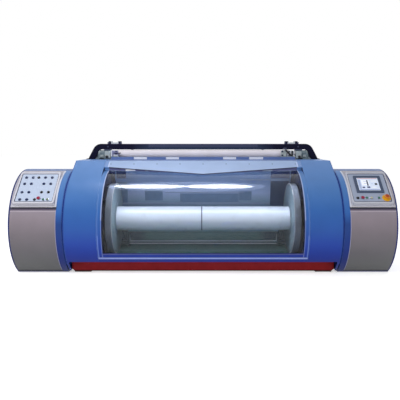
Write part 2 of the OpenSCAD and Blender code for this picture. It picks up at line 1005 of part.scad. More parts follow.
// Folded top sheet with the flange under the hood panel and the rail along the slot
module hood_top() {
    t = sheet_t;
    outer = [corner_y(slope_a, 0), top_z];
    inner = [corner_y(slope_a, t), top_z - t];
    flange_end = inner - hood_flange * [sin(slope_a), cos(slope_a)];
    normal = [-cos(slope_a), sin(slope_a)];
    web = 6;
    color(PALE_BLUE) {
        along_x(-bay_x + play, bay_x - play) {
            polygon([outer, [slot_front, top_z], [slot_front, top_z - t], inner]);
            polygon([
                inner, flange_end, flange_end - t * normal,
                [corner_y(slope_a, 2 * t), top_z - 2 * t], [inner[0] + t, top_z - t]
            ]);
            translate([slot_front - lip_d, top_z - 1]) square([lip_d, lip_h + 1]);
        }
        // End webs that bolt to the bulkheads
        for (s = [0, 1])
            mirror([s, 0, 0])
            along_x(bay_x - play - web, bay_x - play)
            translate([20, top_z - t - 45]) square([slot_front - 40, 46]);
    }
}

// Sloping panel whose lower edge runs down to a point at the middle
module hood_panel() {
    reach = bay_x - 2;
    color(PALE_BLUE)
    translate([0, corner_y(slope_a, 0), top_z])
    rotate([90 - slope_a, 0, 0])
    translate([0, 0, -sheet_t])
    linear_extrude(sheet_t)
    polygon([[-reach, -3], [reach, -3], [reach, -hood_end], [0, -hood_mid], [-reach, -hood_end]]);
}

// Back sheet: folded edge along the slot, straight slope and rolled lower part
module rear_panel() {
    t = sheet_t;
    steps = 44;
    foot_a = 180 + asin((drum_z - base_top) / drum_r);
    color(BLUE)
    along_x(-bay_x + play, bay_x - play)
    polygon(concat(
        [[slot_back, top_z], [corner_y(back_a, 0), top_z]],
        arc_points(drum_r, back_a, foot_a, steps),
        arc_points(drum_r - t, foot_a, back_a, steps),
        [[corner_y(back_a, t), top_z - t], [slot_back, top_z - t]]
    ));
}

// ---- Visor ------------------------------------------------------------------

module visor_frame() {
    low_a = visor_low_a + visor_rail_a;
    high_a = visor_high_a - 4;
    color(BLUE)
    difference() {
        along_x(-visor_x, visor_x) arc_band(visor_r, drum_r, visor_low_a, visor_high_a);
        along_x(-sight_w / 2, sight_w / 2) arc_band(visor_r - CUT, drum_r + CUT, low_a, high_a);
        along_x(-sight_w / 2 - rebate, sight_w / 2 + rebate)
        arc_band(visor_r - CUT, pane_r, low_a - rebate_a, high_a + rebate_a);
    }
}

module visor_pane() {
    low_a = visor_low_a + visor_rail_a - rebate_a + 0.1;
    high_a = visor_high_a - 4 + rebate_a - 0.1;
    reach = sight_w / 2 + rebate - 0.5;
    color([0.75, 0.85, 0.92, 0.35])
    along_x(-reach, reach)
    arc_band(pane_r - play - pane_t, pane_r - play, low_a, high_a);
}

// ---- Warp beam --------------------------------------------------------------

barrel_r = barrel_d / 2;
flange_r = flange_d / 2;

module beam_barrel() {
    color([0.93, 0.94, 0.96])
    difference() {
        bar_x(0, beam_z, barrel_r, -flange_x0, flange_x0);
        bar_x(0, beam_z, barrel_r - barrel_wall, -flange_x0 - CUT, flange_x0 + CUT);
    }
}

// Flange on the right side: hub, web, rolled rim and stiffening ribs
module flange() {
    rim_t = 14;
    spigot = 30;
    barrel_bore = barrel_r - barrel_wall;
    color(STEEL)
    translate([flange_x0, 0, beam_z])
    rotate([0, 90, 0])
    difference() {
        union() {
            rotate_extrude()
            polygon([
                [hub_bore_r, -spigot], [barrel_bore - play, -spigot], [barrel_bore - play, 0],
                [flange_r - 3, 0], [flange_r, 3], [flange_r, flange_w - 3], [flange_r - 3, flange_w],
                [flange_r - rim_t, flange_w], [flange_r - rim_t - 6, web_t],
                [hub_r + 8, web_t], [hub_r, flange_w - 4], [hub_bore_r, flange_w - 4]
            ]);
            for (i = [0 : flange_ribs - 1])
                rotate([0, 0, 360 * i / flange_ribs])
                translate([hub_r - 4, -5, web_t - 1])
                cube([flange_r - rim_t - hub_r, 10, flange_w - web_t - 14]);
        }
        cylinder(r = hub_bore_r, h = 3 * flange_w, center = true);
    }
}

module beam_flange_left() {
    left_side() flange();
}

module beam_flange_right() {
    flange();
}

// ---- Spindles and belt drive ------------------------------------------------

nose_in = 40;

// Drive spindle on the left: nose in the flange, chuck plate, shaft and keyed pulley
module drive_spindle() {
    pulley_w = belt_w + 16;
    x_nose = flange_x1 - nose_in;
    x_plate0 = flange_x1 + 1;
    x_plate1 = bay_x - 8;
    color(STEEL)
    left_side() {
        bar_x(0, beam_z, hub_bore_r - fit, x_nose, x_plate0 + CUT);
        bar_x(0, beam_z, chuck_r, x_plate0, x_plate1);
        bar_x(0, beam_z, spindle_r, x_plate1 - CUT, belt_x + pulley_w / 2 + 12);
        translate([belt_x, 0, beam_z])
        rotate([0, 90, 0])
        rotate_extrude()
        polygon([
            [spindle_r - 1, -pulley_w / 2], [big_pulley_r + 6, -pulley_w / 2],
            [big_pulley_r + 6, -pulley_w / 2 + 6], [big_pulley_r, -pulley_w / 2 + 6],
            [big_pulley_r, pulley_w / 2 - 6], [big_pulley_r + 6, pulley_w / 2 - 6],
            [big_pulley_r + 6, pulley_w / 2], [big_pulley_r - 14, pulley_w / 2],
            [big_pulley_r - 14, 8], [spindle_r + 22, 8], [spindle_r + 22, pulley_w / 2],
            [spindle_r - 1, pulley_w / 2]
        ]);
    }
}

// Tail quill on the right: it holds the beam's other end and draws back to let it go
module tail_quill() {
    color(STEEL) {
        bar_x(0, beam_z, hub_bore_r - fit, flange_x1 - nose_in, flange_x1 + 4);
        bar_x(0, beam_z, quill_r, flange_x1 + 3, housing_x - sheet_t - quill_stroke - 8);
    }
}

module drive_motor() {
    x0 = cabinet_x + cabinet_inner_disc + play;
    cowl = 70;
    color(CAST)
    left_side()
    difference() {
        union() {
            bar_x(motor_y, motor_z, motor_r + 18, x0, x0 + 16);
            bar_x(motor_y, motor_z, motor_r, x0 + 15, x0 + motor_len);
            bar_x(motor_y, motor_z, motor_r - 8, x0 + motor_len - 1, x0 + motor_len + cowl);
            translate([x0 + 110, motor_y - 70, motor_z + motor_r - 20]) cube([150, 140, 70]);
        }
        bar_x(motor_y, motor_z, motor_shaft_r + fit, x0 - CUT, x0 + 90);
    }
}

module motor_pulley() {
    pulley_w = belt_w + 16;
    x_end = cabinet_x + cabinet_inner_disc + 84;
    color(STEEL)
    left_side() {
        bar_x(motor_y, motor_z, motor_shaft_r, belt_x - pulley_w / 2 - 6, x_end);
        translate([belt_x, motor_y, motor_z])
        rotate([0, 90, 0])
        rotate_extrude()
        polygon([
            [motor_shaft_r - 1, -pulley_w / 2], [small_pulley_r + 5, -pulley_w / 2],
            [small_pulley_r + 5, -pulley_w / 2 + 6], [small_pulley_r, -pulley_w / 2 + 6],
            [small_pulley_r, pulley_w / 2 - 6], [small_pulley_r + 5, pulley_w / 2 - 6],
            [small_pulley_r + 5, pulley_w / 2], [motor_shaft_r - 1, pulley_w / 2]
        ]);
    }
}

module drive_belt() {
    big = [0, beam_z];
    small = [motor_y, motor_z];
    color(DARK)
    left_side()
    along_x(belt_x - belt_w / 2, belt_x + belt_w / 2)
    difference() {
        polygon(loop_points(big, big_pulley_r + play + belt_t, small, small_pulley_r + play + belt_t));
        polygon(loop_points(big, big_pulley_r + play, small, small_pulley_r + play));
    }
}

// ---- Press roller -----------------------------------------------------------

press_pin_r = 14;

// Hollow roller along X: tube, drilled end discs and journals
module tube_roller(y, z, r, wall, half, pin_r, pin_end) {
    disc_t = 14;
    hole_r = (r - wall - pin_r) * 0.3;
    hole_at = (r - wall + pin_r) / 2;
    difference() {
        bar_x(y, z, r, -half, half);
        bar_x(y, z, r - wall, -half - CUT, half + CUT);
    }
    for (s = [0, 1])
        mirror([s, 0, 0]) {
            difference() {
                bar_x(y, z, r - wall + 1, half - disc_t - 6, half - 6);
                for (a = [0, 90, 180, 270])
                    bar_x(y + hole_at * cos(a), z + hole_at * sin(a), hole_r, half - 60, half + CUT);
            }
            bar_x(y, z, pin_r, half - disc_t - 20, pin_end);
        }
}

module press_roller() {
    color(STEEL)
    tube_roller(press_y, press_z, press_r, 8, press_half, press_pin_r, press_half + arm_t + 4);
}

module press_arms() {
    arm_x = press_half + 2;
    pivot = [pivot_y, pivot_z];
    roller = [press_y, press_z];
    color(DARK)
    difference() {
        union() {
            for (s = [0, 1])
                mirror([s, 0, 0])
                along_x(arm_x, arm_x + arm_t) strap(pivot, torque_r + 16, roller, press_pin_r + 18);
            bar_x(pivot_y, pivot_z, torque_r, -bay_x + 1, bay_x - 1);
            bar_x(pivot_y, pivot_z, torque_r - 6, -bulkhead_x1 + 6, bulkhead_x1 - 6);
        }
        for (s = [0, 1])
            mirror([s, 0, 0])
            bar_x(press_y, press_z, press_pin_r + fit, arm_x - CUT, arm_x + arm_t + CUT);
    }
}

// ---- Guide roller, castings and crossbar ------------------------------------

casting_x0 = bay_x + 18;
casting_x1 = crossbar_half + 56;
casting_head_x = crossbar_half + 18;
journal_x = crossbar_half + 32;

module guide_roller() {
    color(STEEL)
    tube_roller(guide_y, guide_z, guide_r, 6, guide_half, journal_r, journal_x);
}

// Bearing casting: flanged foot, ribbed body and round bearing head
module casting() {
    head_r = 44;
    foot_t = 12;
    body_w = casting_x1 - casting_x0;
    difference() {
        union() {
            translate([casting_x0, guide_y - 72, top_z]) cube([body_w, 140, foot_t]);
            translate([casting_x0 + 18, guide_y - head_r, top_z])
            cube([body_w - 40, 2 * head_r, guide_z - top_z]);
            bar_x(guide_y, guide_z, head_r, casting_x0 + 8, casting_head_x);
            bar_x(guide_y, guide_z, head_r - 14, casting_x0, journal_x);
            for (x = [casting_x0 + 40, casting_x0 + 84, casting_x0 + 128])
                along_x(x, x + 8)
                polygon([
                    [guide_y - 68, top_z + foot_t - 1], [guide_y + 64, top_z + foot_t - 1],
                    [guide_y + head_r - 2, guide_z], [guide_y - head_r + 2, guide_z]
                ]);
        }
        bar_x(guide_y, guide_z, journal_r + fit, casting_x0 - CUT, casting_x1 + CUT);
    }
}

module roller_castings() {
    color(CAST)
    for (s = [0, 1]) mirror([s, 0, 0]) casting();
}

crossbar_y = guide_y + 22;

crossbar_mid_z = crossbar_z + crossbar_h / 2;
bend_mid_r = bend_r + crossbar_h / 2;

// Point of a crossbar leg: off lies across the tube and z is its height
function leg_point(off, z) =
    let (
        start = [crossbar_half, crossbar_mid_z - bend_mid_r] + (bend_mid_r + off) * [sin(leg_a), cos(leg_a)],
        run = (start[1] - z) / tan(leg_a)
    )
    [start[0] + run, z];

// Points of a bend of the crossbar, from one angle to another
function bend_points(r, a0, a1) =
    let (centre = [crossbar_half, crossbar_mid_z - bend_mid_r], steps = 16)
    [for (i = [0 : steps]) centre + r * unit(a0 + (a1 - a0) * i / steps)];

// Outline of the bent bar in the XZ plane, t inside its outer face, down to a height
module crossbar_outline(t, z) {
    w = crossbar_h / 2 - t;
    right = concat(
        bend_points(bend_mid_r + w, 90, 90 - leg_a),
        [leg_point(w, z), leg_point(-w, z)],
        bend_points(bend_mid_r - w, 90 - leg_a, 90)
    );
    left = [for (i = [len(right) - 1 : -1 : 0]) [-right[i][0], right[i][1]]];
    polygon(concat(right, left));
}

module crossbar() {
    wall = 5;
    foot_t = 8;
    foot_x = leg_point(0, top_z)[0];
    color(DARK) {
        difference() {
            union() {
                translate([0, crossbar_y + crossbar_d / 2, 0])
                rotate([90, 0, 0])
                linear_extrude(crossbar_d)
                crossbar_outline(0, top_z);
                for (s = [-1, 1])
                    translate([s * foot_x - 56, crossbar_y - 40, top_z]) cube([112, 80, foot_t]);
            }
            translate([0, crossbar_y + crossbar_d / 2 - wall, 0])
            rotate([90, 0, 0])
            linear_extrude(crossbar_d - 2 * wall)
            crossbar_outline(wall, top_z - CUT);
        }
        // Clamps that hold the lease rods on top of the bar
        for (s = [0, 1])
            mirror([s, 0, 0])
            translate([crossbar_half - 240, crossbar_y - 32, crossbar_z + crossbar_h - CUT])
            difference() {
                cube([150, 64, 32 + CUT]);
                translate([40, -CUT, 18]) cube([70, 64 + 2 * CUT, 18]);
            }
    }
}

// ---- Comb -------------------------------------------------------------------

comb_pin_r = 15;
comb_rail_half = bay_x - comb_travel - 6;

// Expanding comb: needle sections turned in a zigzag on a sliding rail
module comb() {
    rail_h = 44;
    rail_d = 30;
    pitch = 2 * (guide_half - 20) / comb_sections;
    needle_pitch = (pitch - 8) / comb_needles / cos(comb_turn);
    needle_r = 1.6;
    needle_len = 52;
    color(STEEL) {
        translate([-comb_rail_half, comb_y - rail_d / 2, comb_z - rail_h / 2])
        cube([2 * comb_rail_half, rail_d, rail_h]);
        bar_x(comb_y, comb_z, comb_pin_r, -bulkhead_x1 - comb_travel, bulkhead_x1 + comb_travel);
        for (i = [0 : comb_sections - 1])
            translate([(i - (comb_sections - 1) / 2) * pitch, comb_y, comb_z + rail_h / 2])
            rotate([0, 0, i % 2 == 0 ? comb_turn : -comb_turn]) {
                translate([-pitch * 0.48, -5, -1]) cube([pitch * 0.96, 10, 9]);
                for (k = [0 : comb_needles - 1])
                    translate([(k - (comb_needles - 1) / 2) * needle_pitch, 0, 7])
                    cylinder(r = needle_r, h = needle_len, $fn = 6);
            }
    }
}

// ---- Nodes ------------------------------------------------------------------

base_frame();
bulkhead_left();
bulkhead_right();
cabinet_left();
cabinet_right();
upper_panel_left();
upper_panel_right();
lower_panel_left();
lower_panel_right();
console_left();
console_right();
touch_screen();
housing_left();
housing_right();
hood_panel();
hood_top();
rear_panel();
front_sill();
visor_frame();
visor_pane();
kick_bar();
beam_barrel();
beam_flange_left();
beam_flange_right();
drive_spindle();
tail_quill();
drive_motor();
motor_pulley();
drive_belt();
press_roller();
press_arms();
guide_roller();
roller_castings();
crossbar();
comb();
left_button(1);  // left_button_1
left_button(2);  // left_button_2
left_button(3);  // left_button_3
left_button(4);  // left_button_4
left_button(5);  // left_button_5
left_button(6);  // left_button_6
left_button(7);  // left_button_7
left_button(8);  // left_button_8
left_button(9);  // left_button_9
left_button(10);  // left_button_10
left_button(11);  // left_button_11
left_button(12);  // left_button_12
left_selector(1);  // left_selector_1
left_selector(2);  // left_selector_2
left_selector(3);  // left_selector_3
left_selector(4);  // left_selector_4
left_stop_button();
left_start_button();
left_ready_button();
right_selector();
right_stop_button();
right_start_button();
right_ready_button();
right_reset_button();
emergency_stop();
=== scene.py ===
"""Looks of a beam winding headstock for a warp sizing line.

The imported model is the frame: every class below dresses the solids of one sub-assembly and adds the
pieces that they leave out. Lengths are in metres, X runs along the warp beam, the operator stands at
-Y and Z is up. A Shape is a pair of vertex and face arrays worked out with numpy, and build() puts
one or more of them into a mesh that rides on a body of the frame.
"""

from __future__ import annotations

import json
import logging
import math
from dataclasses import dataclass, field
from enum import Enum
from typing import Iterable, Sequence

import bmesh
import bpy
import numpy as np
from mathutils import Matrix

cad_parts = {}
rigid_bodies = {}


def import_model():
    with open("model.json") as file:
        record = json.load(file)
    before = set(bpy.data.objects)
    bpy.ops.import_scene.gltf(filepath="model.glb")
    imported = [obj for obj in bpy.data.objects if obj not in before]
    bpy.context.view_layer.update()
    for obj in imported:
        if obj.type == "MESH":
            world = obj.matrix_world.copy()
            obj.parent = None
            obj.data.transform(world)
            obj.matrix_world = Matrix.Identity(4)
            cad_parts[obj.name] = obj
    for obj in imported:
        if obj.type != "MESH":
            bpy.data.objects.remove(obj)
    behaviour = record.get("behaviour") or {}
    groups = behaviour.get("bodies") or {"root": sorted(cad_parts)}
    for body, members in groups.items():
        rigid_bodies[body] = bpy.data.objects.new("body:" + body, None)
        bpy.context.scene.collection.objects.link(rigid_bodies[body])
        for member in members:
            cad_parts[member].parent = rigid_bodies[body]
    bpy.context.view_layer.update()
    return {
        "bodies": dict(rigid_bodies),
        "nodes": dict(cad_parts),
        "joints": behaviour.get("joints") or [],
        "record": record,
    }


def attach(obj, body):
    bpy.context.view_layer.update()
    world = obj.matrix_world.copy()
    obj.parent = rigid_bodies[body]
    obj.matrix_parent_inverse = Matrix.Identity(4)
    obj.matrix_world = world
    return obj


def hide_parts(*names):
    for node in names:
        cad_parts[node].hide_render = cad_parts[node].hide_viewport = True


LOG = logging.getLogger("headstock")
Tree = bpy.types.NodeTree
Socket = bpy.types.NodeSocket
Array = np.ndarray
Pair = tuple[float, float]
Triple = tuple[float, float, float]
Point = Sequence[float]
MM = 0.001
# The casing's radius and the heights of its axis, of the beam's axis and of the top sheet
DRUM_R, DRUM_Z, BEAM_Z, TOP_Z = 0.605, 0.49, 0.53, 1.191
# Axis of the press arms' torque tube
TUBE_Y, TUBE_Z = 0.3, 0.187
# Directions, and a point on the casing's axis
RIGHT, FRONT, UP = np.array([(1.0, 0.0, 0.0), (0.0, -1.0, 0.0), (0.0, 0.0, 1.0)])
AXIS = np.array([0.0, 0.0, DRUM_Z])


# ---- Finishes -------------------------------------------------------------------------------

# Range in which a cloud of noise mostly lies
CLOUD = (0.3, 0.7)
# Share by which wear changes the roughness, the size of its patches and of those on the rubbed and
# highlighted edges
WEAR, WEAR_SIZE, RUB_SIZE = 0.15, 0.09, 0.035
# Heights between which floor dust thins out, and its colour
DUST_FROM, DUST_TO, DUST = 0.02, 0.3, "8d8a86"
COAT_ROUGHNESS = 0.08


def linear(code: str) -> tuple[float, float, float, float]:
    """Turns an sRGB hex value into linear red, green, blue and an alpha of 1."""
    raw = np.array([int(code[i : i + 2], 16) for i in (0, 2, 4)]) / 255.0
    value = np.where(raw <= 0.04045, raw / 12.92, ((raw + 0.055) / 1.055) ** 2.4)
    return float(value[0]), float(value[1]), float(value[2]), 1.0


def add_node(tree: Tree, kind: str, inputs: dict | None = None, **settings) -> bpy.types.Node:
    """Adds one node to a tree with its settings, values and links.

    Args:
        tree: The node tree.
        kind: Blender's name for the node.
        inputs: Socket name or number to a value, or to the output socket that feeds it.
        **settings: Properties of the node itself.

    Returns:
        The new node.
    """
    node = tree.nodes.new(kind)
    for key, value in settings.items():
        setattr(node, key, value)
    for key, value in (inputs or {}).items():
        if isinstance(value, Socket):
            tree.links.new(value, node.inputs[key])
        else:
            node.inputs[key].default_value = value
    return node


class Bench:
    """A shader tree, cleared first, with short ways to add the nodes that finishes need."""

    def __init__(self, owner: bpy.types.Material | bpy.types.World) -> None:
        """Clears the owner's tree."""
        owner.use_nodes = True
        self.tree = owner.node_tree
        self.tree.nodes.clear()

    def add(self, kind: str, inputs: dict | None = None, out: int | str = 0, **settings) -> Socket:
        """Adds a shader node and gives one of its outputs."""
        return add_node(self.tree, f"ShaderNode{kind}", inputs, **settings).outputs[out]

    def show(self, surface: Socket, kind: str = "Material") -> None:
        """Ends the tree in a surface."""
        add_node(self.tree, f"ShaderNodeOutput{kind}", {"Surface": surface})

    def where(self) -> Socket:
        """The point in the piece's own coordinates."""
        return self.add("TexCoord", out="Object")

    def part(self, axis: str) -> Socket:
        """One coordinate of the point."""
        return self.add("SeparateXYZ", {0: self.where()}, axis)

    def math(self, operation: str, *values: Socket | float) -> Socket:
        """A sum on one or two numbers."""
        return self.add("Math", dict(enumerate(values)), operation=operation)

    def vector(self, operation: str, *values: Socket | Point, out: int | str = 0) -> Socket:
        """A sum on one or two vectors."""
        return self.add("VectorMath", dict(enumerate(values)), out, operation=operation)

    def fit(self, value: Socket, low: float, high: float, to: tuple = (0.0, 1.0)) -> Socket:
        """Carries the range from low to high onto another, held at its ends."""
        return self.add("MapRange", {
            "Value": value, "From Min": low, "From Max": high, "To Min": to[0], "To Max": to[1]})

    def noise(self, where: Socket, size: float, **inputs: float) -> Socket:
        """Cloud whose features are about this size in metres."""
        return self.add("TexNoise", {"Vector": where, "Scale": 1.0 / size, **inputs})

    def plain(self, code: str) -> Socket:
        """A constant colour as a socket."""
        socket = self.add("RGB")
        socket.default_value = linear(code)
        return socket

    def blend(self, share: Socket, a: Socket, b: Socket) -> Socket:
        """Mixes colour a towards colour b by a share."""
        return self.add("Mix", {0: share, 6: a, 7: b}, 2, data_type="RGBA")


class Along(Enum):
    """What the limits of a zone are measured along."""

    SIDE = "distance from the middle plane, |X|"
    DEPTH = "place from front to back"
    HEIGHT = "height"
    DRUM = "distance from the casing's axis"
    BEAM = "distance from the beam's axis"

    def measure(self, bench: Bench) -> Socket:
        """The measure at a point: a coordinate, its size, or sqrt(y^2 + (z - axis)^2)."""
        if self in (Along.DRUM, Along.BEAM):
            axis = DRUM_Z if self is Along.DRUM else BEAM_Z
            moved = bench.add("Mapping", {
                "Vector": bench.where(), "Location": (0.0, 0.0, -axis), "Scale": (0.0, 1.0, 1.0)})
            return bench.vector("LENGTH", moved, out="Value")
        if self is Along.SIDE:
            return bench.math("ABSOLUTE", bench.part("X"))
        return bench.part("Y" if self is Along.DEPTH else "Z")


SIDE, DEPTH, HEIGHT, DRUM, BEAM = Along


@dataclass(frozen=True)
class Zone:
    """Part of a surface that has a second colour."""

    colour: str  # sRGB hex of the second colour
    # Measures, each with its lowest and highest value in metres; all of them hold at once
    limits: tuple[tuple[Along, float, float], ...]
    soft: float = 0.0006  # Width in metres over which the zone fades out
    share: float = 1.0  # Strength of the second colour

    def paint(self, bench: Bench, colour: Socket) -> Socket:
        """Paints the zone: its share is the product of its limits' two soft steps each."""
        share = None
        for along, low, high in self.limits:
            value = along.measure(bench)
            for start, end in ((low - self.soft, low), (high + self.soft, high)):
                step = bench.fit(value, start, end)
                share = step if share is None else bench.math("MULTIPLY", share, step)
        if self.share < 1.0:
            share = bench.math("MULTIPLY", share, self.share)
        return bench.blend(share, colour, bench.plain(self.colour))


@dataclass(frozen=True)
class Finish:
    """One finish and the numbers that describe it, painted light and shade included where it has them."""

    name: str  # The finish's common name
    colour: str  # sRGB hex of the clean surface
    roughness: float  # Mean roughness
    metallic: float = 0.0  # 1 for bare metal
    # Painted shading: heights in metres with the sRGB hex painted there, from low to high, for the light
    # and shade that fall on the surface
    painted_shading: tuple[tuple[float, str], ...] = ()
    mottle: float = 0.04  # Share by which the colour wanders
    mottle_mm: float = 180.0  # Size of that wander in millimetres
    peel_mm: float = 6.0  # Spacing of the fine surface texture in millimetres
    peel: float = 0.04  # Height of that texture in millimetres
    grain: Triple = (1.0, 1.0, 1.0)  # Stretch of the texture along X, Y and Z
    coat: float = 0.0  # Weight of a clear coat
    specular: float = 0.3  # Strength of the paint's own gloss, 0.5 for a plain dielectric
    ior: float = 1.5  # Index of refraction
    glow: float = 0.0  # Light that the surface gives off by itself
    dust: float = 0.0  # Share of pale dust that settles on it near the floor
    edge: str = ""  # sRGB hex of the edges, rubbed pale by handling and painted lighter as a highlight, or nothing
    edge_mm: float = 3.0  # Width of those edges in millimetres
    zones: tuple[Zone, ...] = ()  # Zones in other colours, painted in order

    def material(self) -> bpy.types.Material:
        """Gives the Blender material, which is made once."""
        found = bpy.data.materials.get(self.name)
        if found is None:
            found = bpy.data.materials.new(self.name)
            self.wire(Bench(found))
        return found

    def wire(self, bench: Bench) -> None:
        """Builds the finish's node tree."""
        colour = self.marked(bench, self.wander(bench, self.base(bench)))
        if self.edge:
            colour = self.rubbed(bench, colour)
        inputs = {
            "Base Color": colour, "Metallic": self.metallic, "IOR": self.ior, "Coat Weight": self.coat,
            "Specular IOR Level": self.specular if self.metallic < 1.0 else 0.5,
            "Coat Roughness": COAT_ROUGHNESS, "Roughness": self.worn(bench), "Normal": self.relief(bench)}
        if self.glow:
            inputs |= {"Emission Color": colour, "Emission Strength": self.glow}
        bench.show(bench.add("BsdfPrincipled", inputs))

    def base(self, bench: Bench) -> Socket:
        """The clean colour, or the painted shading by height where the finish has it."""
        if not self.painted_shading:
            return bench.plain(self.colour)
        low, high = self.painted_shading[0][0], self.painted_shading[-1][0]
        ramp = bench.add("ValToRGB", {"Fac": bench.fit(bench.part("Z"), low, high)})
        stops = ramp.node.color_ramp.elements
        while len(stops) < len(self.painted_shading):
            stops.new(0.5)
        for stop, (at, _) in zip(stops, self.painted_shading):
            stop.position = (at - low) / (high - low)
        for stop, (_, code) in zip(stops, self.painted_shading):
            stop.color = linear(code)
        return ramp

    def wander(self, bench: Bench, colour: Socket) -> Socket:
        """Lets the colour wander by the mottle, and lays dust on it near the floor."""
        cloud = bench.noise(bench.where(), self.mottle_mm * MM, Detail=4.0)
        share = bench.fit(cloud, *CLOUD, (1.0 - self.mottle, 1.0 + self.mottle))
        mixed = bench.add("VectorMath", {0: colour, "Scale": share}, operation="SCALE")
        if not self.dust:
            return mixed
        low = bench.fit(bench.part("Z"), DUST_FROM, DUST_TO, (self.dust, 0.0))
        return bench.blend(bench.math("MULTIPLY", low, cloud), mixed, bench.plain(DUST))

    def marked(self, bench: Bench, colour: Socket) -> Socket:
        """Paints the zones in order."""
        for zone in self.zones:
            colour = zone.paint(bench, colour)
        return colour

    def rubbed(self, bench: Bench, colour: Socket) -> Socket:
        """Rubs the edges pale and paints a highlight on them: their share grows as the rounded normal leans
        from the true one.
        """
        bend = bench.add("Bevel", {"Radius": self.edge_mm * MM}, samples=4)
        match = bench.vector("DOT_PRODUCT", bend, bench.add("NewGeometry", out="Normal"), out="Value")
        broken = bench.fit(bench.noise(bench.where(), RUB_SIZE, Detail=3.0), 0.35, 0.6)
        share = bench.math("MULTIPLY", bench.fit(match, 0.995, 0.8), broken)
        return bench.blend(share, colour, bench.plain(self.edge))

    def worn(self, bench: Bench) -> Socket:
        """Roughness that varies a little, as handling and cleaning leave it."""
        cloud = bench.noise(bench.where(), WEAR_SIZE, Detail=5.0, Roughness=0.6)
        return bench.fit(cloud, *CLOUD, (self.roughness * (1.0 - WEAR), self.roughness * (1.0 + WEAR)))

    def relief(self, bench: Bench) -> Socket:
        """The fine surface texture as a bump of real height."""
        spread = bench.add("Mapping", {"Vector": bench.where(), "Scale": self.grain})
        peel = bench.noise(spread, self.peel_mm * MM, Detail=2.0)
        return bench.add("Bump", {"Height": peel, "Distance": self.peel * MM, "Strength": 1.0})


@dataclass(frozen=True)
class PlateFinish(Finish):
    """A console's tray enamel, with an anodised plate inside its rim and a thin seal line round it."""

    side: int = 1  # Sign of the console's X
    plate: str = "dfe5f5"  # sRGB hex of the plate
    line: str = "2f3450"  # sRGB hex of the line round it
    half: Pair = (0.194, 0.19)  # Half width and half height of the plate in metres
    corner: float = 0.014  # Corner radius of the plate in metres
    line_half: float = 0.0034  # Half width of the line in metres

    def marked(self, bench: Bench, colour: Socket) -> Socket:
        """Paints the plate inside a rounded rectangle and the line on its edge.

        The distance to the edge is the length of max(|p| - half + corner, 0) less the corner radius.
        """
        frame = PlateFrame(self.side)
        turned = bench.add("Mapping", {
            "Vector": bench.where(), "Location": (-frame.side * frame.centre_x, 0.0, -DRUM_Z)})
        level = bench.add("Mapping", {
            "Vector": turned, "Rotation": (-math.radians(90 - frame.lean), 0.0, 0.0)})
        inner = (self.half[0] - self.corner, self.half[1] - self.corner, 9.0)
        past = bench.vector("SUBTRACT", bench.vector("ABSOLUTE", level), inner)
        reach = bench.vector("LENGTH", bench.vector("MAXIMUM", past, (0.0, 0.0, 0.0)), out="Value")
        gap = bench.math("SUBTRACT", reach, self.corner)
        filled = bench.blend(bench.math("LESS_THAN", gap, 0.0), colour, bench.plain(self.plate))
        edge = bench.math("LESS_THAN", bench.math("ABSOLUTE", gap), self.line_half)
        return bench.blend(edge, filled, bench.plain(self.line))


@dataclass(frozen=True)
class ClearSheet(Finish):
    """Bent clear acrylic sheet: it shows what is behind it and mirrors the lamps."""

    def wire(self, bench: Bench) -> None:
        """Builds a thin transmitting sheet."""
        bench.show(bench.add("BsdfPrincipled", {
            "Base Color": linear(self.colour), "Roughness": self.roughness, "IOR": self.ior,
            "Specular IOR Level": self.specular, "Transmission Weight": 1.0}))


def moulded(name: str, colour: str, roughness: float = 0.3, peel: float = 0.02) -> Finish:
    """Moulded plastic: a fine even texture under a soft gloss."""
    return Finish(name, colour, roughness, peel_mm=1.0, peel=peel)


# Painted shading of the casing's blue: deep below and paler towards the top, standing in for the roof light
# that falls on it
BLUE_PAINTED_SHADING = (
    (0.02, "182a86"), (0.14, "1b3192"), (0.25, "223d9d"), (0.36, "2b4ba7"), (0.5, "315aa8"),
    (0.7, "3665ab"), (0.9, "4a77b5"), (1.05, "5984c0"), (1.19, "688ec8"))


def blue_coat(name: str, *zones: Zone, **more: float | str) -> Finish:
    """Powder coat on rolled blue sheet with painted shading by height: slight orange peel, soft gloss,
    edges rubbed pale and painted as highlights where named.
    """
    look = {"roughness": 0.36, "mottle": 0.03, "peel_mm": 5.0, "peel": 0.03, "specular": 0.16}
    return Finish(name, "3f68b0", painted_shading=BLUE_PAINTED_SHADING, zones=zones, **(look | more))


# Housing blue; the darker strip at the outer edge is painted shade of the gap beside the cabinets
BLUE_COAT = blue_coat(
    "blue_powder_coat", Zone("2c4a92", ((SIDE, 1.432, 1.445),), 0.006, 0.7),
    dust=0.06, edge="7d9fd6", edge_mm=2.5)
# The cabinets: painted shade on the outer rims in violet blue, a darker band over the top, painted shade
# beside the gap, down the inner side and in the joint between the front panels, a ring line and a hub line
# on the outer face
OUTER_FACE = (SIDE, 1.9995, 2.1)
CABINET_COAT = blue_coat(
    "cabinet_blue_coat",
    Zone("2b2a5e", ((SIDE, 1.985, 1.9992),), 0.002, 0.9),
    Zone("4d6296", ((HEIGHT, 1.084, 1.2),), 0.004, 0.7),
    Zone("2c4a92", ((SIDE, 1.44, 1.4545),), 0.006, 0.7),
    Zone("1a2c66", ((SIDE, 1.44, 1.508), (HEIGHT, 0.0, 0.56)), 0.12, 0.6),
    Zone("1c1a28", ((SIDE, 1.51, 1.988), (HEIGHT, 0.708, 0.744), (DEPTH, -0.6, -0.45))),
    Zone("27326e", (OUTER_FACE, (DRUM, 0.518, 0.5215))),
    Zone("27326e", (OUTER_FACE, (DRUM, 0.0, 0.048)), 0.0006, 0.8),
    dust=0.06, edge="6f8fcc", edge_mm=2.5)
